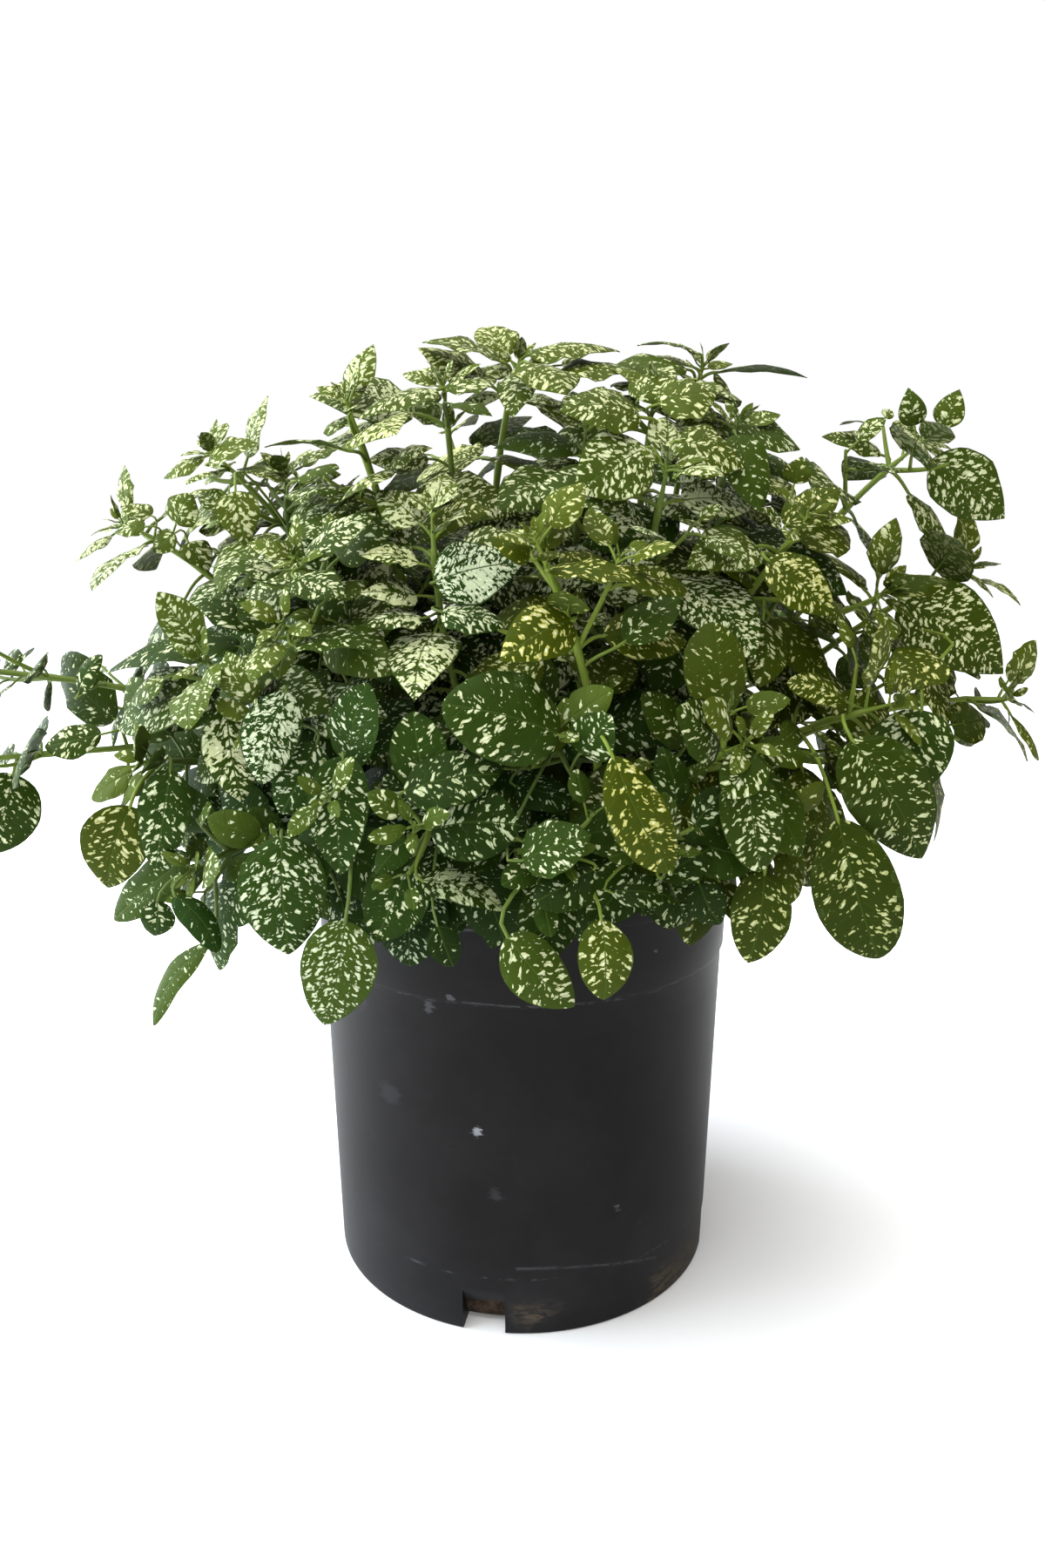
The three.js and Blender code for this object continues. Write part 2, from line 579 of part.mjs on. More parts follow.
// Across and over directions at station i, both square to the stem.
function stemFrame(shoot, i) {
  const s = shoot.stations;
  const before = s[Math.max(0, i - 1)];
  const after = s[Math.min(s.length - 1, i + 1)];
  const along = i <= 1 ? UP.clone() : after.clone().sub(before).normalize();
  const outward = shoot.root.clone().normalize();
  const across = square(new THREE.Vector3(-outward.y, outward.x, 0), along);
  const over = along.clone().cross(across);
  return { along, across, over };
}

function stemStrands(stations) {
  const strands = [];
  for (let i = 1; i + 1 < stations.length; i++) {
    strands.push(strand([stations[i], stations[i + 1]], stemRadius(i)));
  }
  return { strands, box: groupBox(strands) };
}

function stemIsClear(stations, placed) {
  for (let i = 2; i < stations.length; i++) {
    const middle = stations[i].clone().lerp(stations[i - 1], 0.5);
    if (blockedByPot(stations[i], 3) || (i > 2 && blockedByPot(middle, 3))) {
      return false;
    }
  }
  const stem = stemStrands(stations);
  return placed.every((shoot) => !groupsClash(stem, shoot.stem, STEM_GAP));
}

function placeStem(shoot, placed) {
  for (const root of rootSpots(shoot, placed)) {
    shoot.root = root;
    for (const bend of STEM_BENDS) {
      const stations = stemStations(shoot, bend);
      if (stemIsClear(stations, placed)) {
        shoot.stations = stations;
        shoot.stem = stemStrands(stations);
        return true;
      }
    }
  }
  return false;
}

function buildStem(shoot) {
  const rings = shoot.stations.map((centre, i) => {
    const { across, over } = stemFrame(shoot, i);
    const radius = stemRadius(i);
    return STEM_CORNERS_DEG.map((deg) => {
      const angle = THREE.MathUtils.degToRad(deg);
      return centre.clone()
        .addScaledVector(across, radius * Math.cos(angle))
        .addScaledVector(over, radius * Math.sin(angle));
    });
  });
  return loft(rings);
}

// Point, growth direction and frame at a distance back from the tip, measured along the stations.
function alongStem(shoot, fromTip) {
  const s = shoot.stations;
  let left = fromTip;
  let i = s.length - 1;
  while (i > 2 && left > s[i].distanceTo(s[i - 1])) {
    left -= s[i].distanceTo(s[i - 1]);
    i -= 1;
  }
  const share = Math.min(left / s[i].distanceTo(s[i - 1]), 0.95);
  return { point: s[i].clone().lerp(s[i - 1], share), ...stemFrame(shoot, i) };
}

// The leaves.

// A leaf is described by where its stalk starts, where the blade starts and ends, its width and
// the way its face looks.
function makeLeaf(start, base, end, width, facing, sections) {
  const along = end.clone().sub(base).normalize();
  const stalk = base.clone().sub(start).normalize();
  const face = square(facing, along);
  const across = along.clone().cross(face);
  const length = end.distanceTo(base);
  const arch = length * LEAF_ARCH;
  const edges = sections.map(([t, share]) => {
    const centre = base.clone().lerp(end, t).addScaledVector(face, 4 * arch * t * (1 - t));
    const left = centre.clone().addScaledVector(across, width * share / 2);
    const right = centre.clone().addScaledVector(across, -width * share / 2);
    return { centre, left, right };
  });
  return { start, base, end, width, along, stalk, face, across, length, edges };
}

function leafStrands(leaf) {
  const sunk = leaf.face.clone().multiplyScalar(-BLADE_THICKNESS / 2);
  const at = (p) => p.clone().add(sunk);
  const blade = [];
  let { left, right } = { left: at(leaf.base), right: at(leaf.base) };
  for (const edge of leaf.edges) {
    const [nextLeft, nextRight] = [at(edge.left), at(edge.right)];
    if (left.distanceTo(right) > 0.01) {
      blade.push(strand([left, right, nextRight], BLADE_THICKNESS / 2));
    }
    blade.push(strand([left, nextRight, nextLeft], BLADE_THICKNESS / 2));
    [left, right] = [nextLeft, nextRight];
  }
  blade.push(strand([left, right, at(leaf.end)], BLADE_THICKNESS / 2));
  const reach = leaf.base.clone().sub(leaf.start);
  const outside = leaf.start.clone().addScaledVector(reach, 0.25);
  const stalk = [strand([outside, leaf.base], STALK_RADIUS)];
  return {
    blade: { strands: blade, box: groupBox(blade) },
    stalk: { strands: stalk, box: groupBox(stalk) },
  };
}

function stalkRing(centre, across, along, radius) {
  const over = across.clone().cross(along);
  return [
    centre.clone().addScaledVector(across, radius).addScaledVector(over, radius * 0.5),
    centre.clone().addScaledVector(across, -radius).addScaledVector(over, radius * 0.5),
    centre.clone().addScaledVector(over, -radius),
  ];
}

// The stalk grows from a point sunk past the middle of the stem.
function buildLeaf(leaf) {
  const across = square(leaf.across, leaf.stalk);
  const rings = [
    [leaf.start.clone().addScaledVector(leaf.stalk, -STALK_SINK)],
    stalkRing(leaf.base, across, leaf.stalk, STALK_RADIUS),
  ];
  for (const { centre, left, right } of leaf.edges) {
    const keel = centre.clone().addScaledVector(leaf.face, -BLADE_THICKNESS);
    rings.push([left, right, keel]);
  }
  rings.push([leaf.end]);
  return loft(rings);
}

// True where a blade would lie in front of a posed leaf's face and hide it.
function hidesPosedLeaf(leaf, posed) {
  const spots = [leaf.end, leaf.base.clone().lerp(leaf.end, 0.5)];
  for (const edge of leaf.edges) {
    spots.push(edge.left, edge.right);
  }
  return posed.some((other) => spots.some((spot) => {
    const offset = spot.clone().sub(other.base);
    const height = offset.dot(other.face);
    const along = offset.dot(other.along);
    const across = Math.abs(offset.dot(other.across));
    const inFront = height > 0 && height < OPEN_FACE_DEPTH;
    return inFront && along > 0 && along < other.length && across < other.width / 2;
  }));
}

function leafIsClear(leaf, shoot, placed, shoots, ownStem) {
  const spots = [leaf.end, leaf.base, ...leaf.edges.flatMap((edge) => [edge.left, edge.right])];
  if (spots.some((spot) => blockedByPot(spot, 2.5))) {
    return false;
  }
  const { blade, stalk } = leafStrands(leaf);
  for (const other of shoots) {
    const mine = other === shoot;
    if ((!mine || ownStem) && groupsClash(blade, other.stem, LEAF_GAP)) {
      return false;
    }
    if (!mine && groupsClash(stalk, other.stem, LEAF_GAP)) {
      return false;
    }
  }
  for (const other of placed) {
    const mine = other.shoot === shoot;
    if (groupsClash(blade, other.blade, LEAF_GAP) || groupsClash(blade, other.stalk, LEAF_GAP)) {
      return false;
    }
    if (groupsClash(stalk, other.blade, LEAF_GAP)) {
      return false;
    }
    if (!mine && groupsClash(stalk, other.stalk, LEAF_GAP)) {
      return false;
    }
  }
  leaf.blade = blade;
  leaf.stalkStrands = stalk;
  return true;
}

function keepLeaf(leaf, shoot, placed) {
  placed.push({ ...leaf, shoot, stalk: leaf.stalkStrands });
  shoot.leaves.push(leaf);
}

// Place on the stem that is nearest to a blade's base, moved back so that the stalk leans on.
function stalkStart(shoot, base) {
  let best = null;
  for (let fromTip = 1; fromTip < 150; fromTip += 2) {
    const spot = alongStem(shoot, fromTip);
    const distance = spot.point.distanceTo(base);
    if (best === null || distance < best.distance) {
      best = { fromTip, distance };
    }
  }
  return alongStem(shoot, best.fromTip + best.distance * 0.35).point;
}

// The face of a posed leaf looks to the front and turns up about the leaf's own length.
function posedLeaf(shoot, row, shift, size) {
  const [, base, end, width, turn] = row;
  const from = toVector(base);
  const outward = new THREE.Vector3(from.x, from.y, 0).normalize().multiplyScalar(shift);
  from.add(outward);
  const to = toVector(end).add(outward);
  to.lerp(from, 1 - size);
  const along = to.clone().sub(from).normalize();
  const front = square(new THREE.Vector3(-from.x * 0.5, -180, 60), along);
  const level = square(UP, along);
  const angle = THREE.MathUtils.degToRad(turn);
  const towardsUp = front.clone().cross(level).dot(along) < 0 ? -angle : angle;
  const facing = front.applyAxisAngle(along, towardsUp);
  const start = stalkStart(shoot, from);
  return makeLeaf(start, from, to, width * size, facing, POSED_SECTIONS);
}

function placePosedLeaf(row, shoots, placed) {
  const shoot = shoots.find((s) => s.id === row[0]);
  for (const size of SIZE_TRIES) {
    for (const shift of POSED_SHIFTS) {
      const leaf = posedLeaf(shoot, row, shift, size);
      if (leafIsClear(leaf, shoot, placed, shoots, false)) {
        keepLeaf(leaf, shoot, placed);
        return leaf;
      }
    }
  }
  return null;
}

function pairDistance(k) {
  return 3 + 7 * k + 4 * k * k;
}

// Leaf of pair k, counted from the tip, on one side of the stem.
function pairLeaf(shoot, k, sideIndex, yaw, lift, size) {
  const node = alongStem(shoot, pairDistance(k));
  const spin = shoot.spin + k * 90 + sideIndex * 180 + yaw;
  const turn = THREE.MathUtils.degToRad(spin);
  const raise = THREE.MathUtils.degToRad(PAIR_LIFTS_DEG[k] + lift);
  const vary = scatter(shoot.number, k, sideIndex);
  const length = shoot.leaf * PAIR_SIZES[k] * (0.88 + 0.24 * vary) * size;
  const sideways = node.across.clone().multiplyScalar(Math.cos(turn))
    .addScaledVector(node.over, Math.sin(turn));
  const stalk = sideways.multiplyScalar(Math.cos(raise))
    .addScaledVector(node.along, Math.sin(raise)).normalize();
  const base = node.point.clone().addScaledVector(stalk, 2.5 + length * 0.26);
  const droop = 0.1 + 0.12 * k + 0.2 * scatter(shoot.number, k, sideIndex + 2);
  const along = stalk.clone().addScaledVector(UP, -droop).normalize();
  const end = base.clone().addScaledVector(along, length);
  const high = THREE.MathUtils.clamp((base.z - 170) / 110, 0, 1);
  const outward = new THREE.Vector3(base.x, base.y, 0).normalize();
  const front = THREE.MathUtils.clamp(0.4 - base.y / 80, 0, 1);
  const facing = outward.multiplyScalar(1 - 0.55 * high)
    .addScaledVector(UP, 0.3 + 0.5 * high)
    .addScaledVector(FRONT, 0.45 * front * high)
    .addScaledVector(node.along, 0.15);
  const width = length * (LEAF_SLENDERNESS + 0.1 * (vary - 0.5));
  return makeLeaf(node.point, base, end, width, facing, BLADE_SECTIONS);
}

function placePairLeaf(shoot, k, sideIndex, shoots, placed, posed) {
  for (const size of SIZE_TRIES) {
    for (const lift of LIFT_TRIES_DEG) {
      for (const yaw of YAW_TRIES_DEG) {
        const leaf = pairLeaf(shoot, k, sideIndex, yaw, lift, size);
        if (hidesPosedLeaf(leaf, posed)) {
          continue;
        }
        if (leafIsClear(leaf, shoot, placed, shoots, true)) {
          keepLeaf(leaf, shoot, placed);
          return;
        }
      }
    }
  }
}

// The whole plant.

function backShoots() {
  const list = [];
  for (const tier of BACK_SHOOTS) {
    for (let i = 0; i < tier.count; i++) {
      const share = i / (tier.count - 1);
      const angle = THREE.MathUtils.degToRad(tier.from + (tier.to - tier.from) * share);
      const push = BACK_SCATTER * (scatter(list.length, 5) - 0.5);
      const lift = 2 * BACK_SCATTER * (scatter(list.length, 6) - 0.5);
      list.push({
        id: `back_${list.length + 1}`,
        tip: [
          (tier.reach[0] + push) * Math.cos(angle),
          (tier.reach[1] + push) * Math.sin(angle),
          tier.height + lift,
        ],
        aim: [Math.cos(angle), Math.sin(angle), tier.lean],
        ring: tier.ring,
        pairs: BACK_PAIRS,
        leaf: BACK_LEAF,
      });
    }
  }
  return list;
}

function growShoots() {
  const shoots = [];
  for (const row of [...SHOOTS, ...backShoots()]) {
    const number = shoots.length + 1;
    const shoot = { ...row, number, spin: 180 * scatter(number, 1), leaves: [] };
    if (placeStem(shoot, shoots)) {
      shoots.push(shoot);
    } else {
      throw new Error(`no clear way for the stem ${row.id}`);
    }
  }
  return shoots;
}

function growLeaves(shoots) {
  const placed = [];
  const posed = POSED.map((row) => placePosedLeaf(row, shoots, placed)).filter(Boolean);
  for (let k = 0; k < PAIR_SIZES.length; k++) {
    for (const shoot of shoots) {
      for (let sideIndex = 0; sideIndex < 2 && k < shoot.pairs; sideIndex++) {
        placePairLeaf(shoot, k, sideIndex, shoots, placed, posed);
      }
    }
  }
}

const shoots = growShoots();
growLeaves(shoots);

const group = new THREE.Group();

group.add(meshOf(buildPot(), 'pot', new THREE.MeshStandardMaterial({
  color: COLOURS.pot,
  roughness: 0.55,
  metalness: 0,
})));

group.add(meshOf(buildMix(shoots), 'potting_mix', new THREE.MeshStandardMaterial({
  color: COLOURS.mix,
  roughness: 1,
  metalness: 0,
})));

shoots.forEach((shoot, i) => {
  let plant = buildStem(shoot);
  for (const leaf of shoot.leaves) {
    plant = plant.add(buildLeaf(leaf));
  }
  const name = `leafy_stem_${String(i + 1).padStart(2, '0')}`;
  group.add(meshOf(plant, name, new THREE.MeshStandardMaterial({
    color: COLOURS.foliage[i % COLOURS.foliage.length],
    roughness: 0.5,
    metalness: 0,
    side: THREE.DoubleSide,
  })));
});

export default group;
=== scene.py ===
"""Potted polka dot plant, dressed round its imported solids.

Shapes are worked out in millimetres, +Z up and -Y to the front, and go into the meshes in metres.
The shoots and the posed leaves stand where the solids have them: each leafy stem's solid tells which
of the few possible bends, turns and sizes its stem and leaves took.
"""

import math

import bpy
import numpy as np
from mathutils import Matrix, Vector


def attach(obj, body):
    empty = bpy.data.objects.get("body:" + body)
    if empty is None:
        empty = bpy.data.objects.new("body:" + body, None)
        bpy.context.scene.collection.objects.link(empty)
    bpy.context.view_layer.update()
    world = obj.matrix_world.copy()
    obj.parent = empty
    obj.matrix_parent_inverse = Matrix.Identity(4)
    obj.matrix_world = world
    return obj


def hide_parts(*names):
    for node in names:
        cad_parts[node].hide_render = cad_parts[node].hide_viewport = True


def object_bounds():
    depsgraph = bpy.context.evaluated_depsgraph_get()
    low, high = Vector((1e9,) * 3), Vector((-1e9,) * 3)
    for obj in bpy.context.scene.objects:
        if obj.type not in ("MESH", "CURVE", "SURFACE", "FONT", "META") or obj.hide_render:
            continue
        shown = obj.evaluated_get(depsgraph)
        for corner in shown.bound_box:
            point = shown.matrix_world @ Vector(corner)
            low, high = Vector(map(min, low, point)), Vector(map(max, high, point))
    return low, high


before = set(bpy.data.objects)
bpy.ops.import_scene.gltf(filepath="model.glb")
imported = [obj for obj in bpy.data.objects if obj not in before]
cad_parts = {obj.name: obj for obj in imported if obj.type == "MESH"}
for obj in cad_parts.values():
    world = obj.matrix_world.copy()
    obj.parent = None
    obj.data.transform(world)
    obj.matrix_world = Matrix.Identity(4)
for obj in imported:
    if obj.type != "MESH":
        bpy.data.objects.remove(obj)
solid_box = [[float(v) for v in corner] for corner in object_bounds()]

UP = np.array([0.0, 0.0, 1.0])
FRONT = np.array([0.0, -1.0, 0.0])
MM = 0.001

# Pot, as in the solids.
BASE_RADIUS, RIM_RADIUS, POT_HEIGHT, WALL = 75, 82.5, 161, 1.6
FLOOR_TOP, HEEL_RADIUS, HEEL_HEIGHT, HEEL_BLEND = 3, 69.8, 20, 6
STEP_HEIGHT, STEP_RADIUS, STEP_RISE, STEP_PROUD = 127, 78.7, 1.2, 0.9
LIP_BOTTOM, LIP_NECK_RADIUS = POT_HEIGHT - 8, 80.1
NOTCH_COUNT, NOTCH_FIRST_DEG, NOTCH_WIDTH, NOTCH_HEIGHT = 4, -100.7, 15.5, 11
NOTCH_RECESS_HEIGHT, NOTCH_RECESS_DEPTH, NOTCH_INNER_RADIUS = 16, 3, 62
POT_SEGMENTS, POT_SHARP_DEG = 160, 32

# Potting mix.
CLEARANCE = 0.35
MIX_EDGE_HEIGHT, MIX_CROWN, MIX_BUMP = 145, 2.5, 0.9
MIX_TOP = MIX_EDGE_HEIGHT + MIX_CROWN + MIX_BUMP
MIX_SEGMENTS, MIX_RINGS = 240, 56

# Stems and the leaf pairs on them, as in the solids. A pair's number counts from the growing tip.
COLLAR_HEIGHT, FOOT_HEIGHT = MIX_TOP + 1, MIX_EDGE_HEIGHT - 22
STEM_STEPS = 6
STEM_ROOT_RADIUS, STEM_TIP_RADIUS = 2.6, 1.5
STEM_CORNERS_DEG = [90, 210, 330]
STEM_BENDS = [0, 7, -7, 14, -14, 21, -21, 28, -28, 36, -36]
PAIR_SIZES = [0.5, 0.86, 1, 1.02, 0.98, 0.9]
PAIR_LIFTS_DEG = [32, 14, 5, 0, -4, -8]
PAIR_YOUNG = [0.75, 0.3, 0.05, 0, 0, 0]
LEAF_SLENDERNESS, LEAF_ARCH = 0.7, 0.09
YAW_TRIES_DEG = [0, 16, -16, 32, -32]
LIFT_TRIES_DEG = [0, 15, -15]
SIZE_TRIES = [1, 0.88, 0.76]
POSED_SHIFTS = [0, 2, -2, 4, -4, 6, -6, 9, -9, 12]
SAME_PLACE = 0.02

# Leaves that scene.py adds. The growing tip's pairs: distance from the tip, length and lift. Where pairs
# stand between the solids' pairs. A twig's pairs: share along it, length, lift and how young.
ROSETTE = [(0.2, 5, 58), (0.9, 8.5, 36), (1.8, 11, 22)]
BETWEEN_DISTANCES = [9, 26, 51, 84, 125, 165]
TWIG_PAIRS = [(1.0, 8, 50, 0.8), (0.93, 15, 36, 0.5), (0.62, 25, 24, 0.2), (0.3, 29, 14, 0.05)]

# Where each kind of leaf's seeds start.
POSED_SEED, PAIR_SEED, ROSETTE_SEED, BETWEEN_SEED, TWIG_SEED = 1000, 2000, 7000, 9000, 14000

# An added leaf fits if no more than these shares of it lie where a blade or a stem is, or in front of a
# posed leaf, and at least this share of its points lies within the front view's outline.
BETWEEN_CROWDING, TWIG_CROWDING, STALK_CROWDING, TWIG_STEM_CROWDING = 0.04, 0.06, 0.15, 0.2
STEM_CROWDING, MOST_HIDDEN, LEAST_IN_VIEW = 0.03, 0.12, 0.97
BETWEEN_ATTEMPTS, TWIG_JOINTS = 4, range(1, 7)

# Meshes: rings and columns of a blade, steps and sides of its stalk. Blades' thickness, and how much
# stouter than the others some stems are. Seeds repeat after SEED_MARKS in the materials.
LEAF_MESHES = {"posed": (16, 10, 7, 6), "pair": (11, 8, 6, 6), "between": (10, 6, 5, 5),
               "small": (7, 4, 3, 5)}
BLADE_THICK, BLADE_EDGE = 0.42, 0.16
STOUT = {"star": 1.25, "bright_stem": 1.1, "crown_front": 1.15}
SEED_MARKS = 97

# Camera, from the photograph's perspective.
CAMERA_PLACE = np.array([0.0, -418.0, 270.0])
CAMERA_DIP_DEG = 11.3
CAMERA_LENS, CAMERA_SENSOR = 24.92, 36
PHOTO_WIDTH, PHOTO_HEIGHT = 1200, 1800
FOCAL = CAMERA_LENS / CAMERA_SENSOR * PHOTO_HEIGHT

# Cells of the leaves' spots: width and length, shift from leaf to leaf, what is taken off a cell's luck,
# and a spot's greatest radius.
SPOT_CELLS = [(3.0, 1.6, 7.7, 0.6, 0.38), (1.5, 0.95, 3.9, 0.75, 0.36)]

# Marks on the pot's front: place to the right and height in mm, radius, and strength.
POT_MARKS = [
    (-15.6, 79.8, 2.1, 0.9), (-32, 124, 2.4, 0.16), (-24.2, 128.4, 1.8, 0.2), (45.9, 140.8, 1.2, 0.3),
    (33.8, 46, 1.1, 0.2), (-9.5, 56, 3.0, 0.06), (-58, 118, 4, 0.03), (-47, 87, 5, 0.04),
]
# Scratches on the pot's front, the second row a painted highlight along the lip's lower edge: both ends'
# place to the right and height in mm, bow, half width, strength.
POT_SCRATCHES_AND_LIP_HIGHLIGHT = [
    (-20, 127.3, -1, 126.6, 0.3, 0.5, 0.26), (-20, 153.9, -6, 154.3, 0.2, 0.8, 0.22),
    (-2, 27, 49.5, 18.7, 2.6, 1.0, 0.17),
]

# Shoots: id, growing tip, direction there, leaf pairs, leaf length, then the look: tone from -1, cool
# dark green, to 1, olive yellow, and how thickly the leaves are spotted, 0 to 1.
SHOOTS = [
    ("crown_front", (-1, -44, 336), (0.3, 0, 1), 4, 37, 0.5, 0.62),
    ("crown_right", (62, -26, 338), (0.25, 0, 1), 4, 35, 0.5, 0.58),
    ("crown_mid", (42, -56, 326), (0.1, -0.1, 1), 4, 35, 0.4, 0.52),
    ("star", (-54, -72, 320), (-0.35, -0.1, 1), 6, 35, 0.5, 0.6),
    ("crown_left", (-25, -58, 327), (-0.1, 0, 1), 4, 36, 0.3, 0.74),
    ("left_high", (-104, -42, 308), (-0.8, 0, 0.7), 4, 31, 0.3, 0.58),
    ("left_fork", (-78, -46, 302), (0.1, 0, 1), 3, 34, -0.2, 0.5),
    ("left_cluster", (-138, -35, 285), (-0.9, 0, 0.4), 5, 31, 0.4, 0.6),
    ("cream_tip", (-25, -109, 286), (0, -0.1, 1), 4, 29, 0.2, 0.85),
    ("bright_stem", (3, -117, 278), (-0.45, 0, 0.9), 3, 29, 0.75, 0.45),
    ("upper_right", (42, -92, 300), (0.1, -0.3, 1), 4, 32, 0.05, 0.75),
    ("dark_right", (66, -70, 314), (0.2, -0.1, 1), 5, 35, -0.35, 0.36),
    ("yellow_right", (84, -90, 285), (0.5, -0.3, 0.8), 5, 32, 0.6, 0.5),
    ("far_right_high", (133, -43, 311), (0.8, 0, 0.6), 3, 30, 0.35, 0.56),
    ("far_right", (151, -42, 270), (0.9, 0, 0.45), 5, 37, 0.7, 0.56),
    ("far_right_low", (166, -48, 226), (1, 0, 0), 4, 32, 0.7, 0.5),
    ("right_arm", (109, -102, 231), (0.8, -0.4, 0.3), 4, 37, 0.6, 0.48),
    ("right_front", (61, -129, 224), (0.3, -0.8, 0.4), 4, 31, 0.35, 0.48),
    ("rim_right", (39, -137, 196), (0.3, -0.9, 0.1), 4, 24, 0.2, 0.52),
    ("rim_mid", (11, -139, 194), (0, -0.9, 0.1), 4, 24, 0.1, 0.5),
    ("rim_left", (-29, -140, 203), (-0.3, -0.8, 0.2), 4, 28, -0.2, 0.5),
    ("front_left", (-52, -136, 210), (-0.2, -0.9, 0.2), 4, 32, -0.4, 0.48),
    ("hang_left", (-68, -128, 194), (-0.4, -0.9, 0), 4, 31, -0.45, 0.5),
    ("low_left", (-96, -114, 184), (-0.6, -0.7, -0.2), 4, 30, -0.5, 0.5),
    ("left_round", (-112, -104, 214), (-0.8, -0.6, 0.1), 4, 32, -0.1, 0.5),
    ("left_face", (-90, -112, 244), (-0.6, -0.6, 0.5), 5, 35, -0.35, 0.6),
    ("left_arm_high", (-191, -60, 238), (-1, 0, 0.1), 5, 16, 0.1, 0.6),
    ("left_arm_low", (-195, -62, 207), (-1, 0, 0), 4, 29, 0.1, 0.56),
    ("left_star", (-66, -118, 255), (-0.3, -0.8, 0.6), 4, 31, 0.15, 0.52),
    ("left_olive", (-64, -106, 273), (-0.3, -0.6, 0.8), 4, 32, 0.05, 0.58),
    ("left_white", (-73, -122, 228), (-0.3, -0.9, 0.2), 4, 31, -0.3, 0.72),
    ("right_hang", (76, -112, 194), (0.6, -0.7, 0), 4, 32, 0.6, 0.46),
    ("mid_front", (8, -127, 226), (0.1, -0.8, 0.4), 4, 29, -0.4, 0.42),
    ("mid_high", (20, -66, 314), (0.1, -0.2, 1), 4, 34, 0.1, 0.5),
    ("side_right", (112, -76, 262), (0.8, -0.3, 0.5), 4, 35, 0.6, 0.46),
]
# Second control point of a stem's curve, where it isn't the usual one.
RISE_POINTS = {"bright_stem": (30, -112, 175)}

# The hidden back: count, first and last angle from +X, reach across and back, height, lean.
BACK_TIERS = [
    (6, 6, 174, (134, 136), 216, 0.25),
    (4, 22, 158, (98, 100), 278, 0.7),
    (2, 50, 130, (46, 42), 318, 2),
]
BACK_PAIRS, BACK_LEAF, BACK_SPOTS, BACK_SCATTER = 5, 36, 0.55, 9

# Outline of the foliage as the front view shows it, in the photograph's pixels: the main mass, and the
# two arms on the left. The small leaves that fill the plant stay inside.
FRONT_OUTLINES = [
    [(130, 600), (190, 538), (240, 514), (300, 512), (340, 520), (385, 465), (405, 458), (430, 472),
     (490, 430), (485, 398), (585, 385), (700, 398), (830, 402), (836, 440), (860, 475), (925, 515),
     (945, 495), (1030, 452), (1085, 455), (1150, 545), (1152, 590), (1075, 565), (1010, 600), (1060, 622),
     (1115, 640), (1150, 720), (1172, 800), (1130, 850), (1112, 880), (1036, 905), (1035, 1000),
     (1018, 1098), (980, 1090), (935, 1010), (908, 1000), (908, 1050), (858, 1100), (835, 1055),
     (790, 1042), (715, 1070), (715, 1140), (640, 1150), (600, 1130), (575, 1060), (528, 1098), (488, 1085),
     (478, 1050), (425, 1060), (422, 1130), (380, 1175), (333, 1140), (328, 1095), (285, 1068), (250, 1092),
     (165, 1062), (110, 1062), (88, 1000), (85, 930), (132, 885), (140, 800), (128, 762), (200, 722),
     (172, 690), (228, 690), (200, 640), (135, 618)],
    [(-400, 700), (60, 730), (150, 775), (150, 822), (0, 822), (-400, 860)],
    [(-400, 830), (0, 850), (80, 822), (132, 830), (120, 880), (60, 900), (45, 975), (-400, 990)],
]
# Places where the background shows between the leaves: middle and half sizes, in the same pixels.
FRONT_GAPS = [
    (520, 500, 34, 20), (620, 470, 22, 26), (690, 498, 40, 8), (635, 536, 18, 8), (513, 546, 8, 9),
    (600, 568, 18, 8), (512, 724, 12, 20), (750, 527, 7, 9), (774, 556, 8, 14), (774, 412, 8, 10),
    (975, 650, 26, 32), (945, 757, 16, 11), (920, 818, 15, 11), (1010, 590, 22, 20), (268, 965, 14, 8),
]

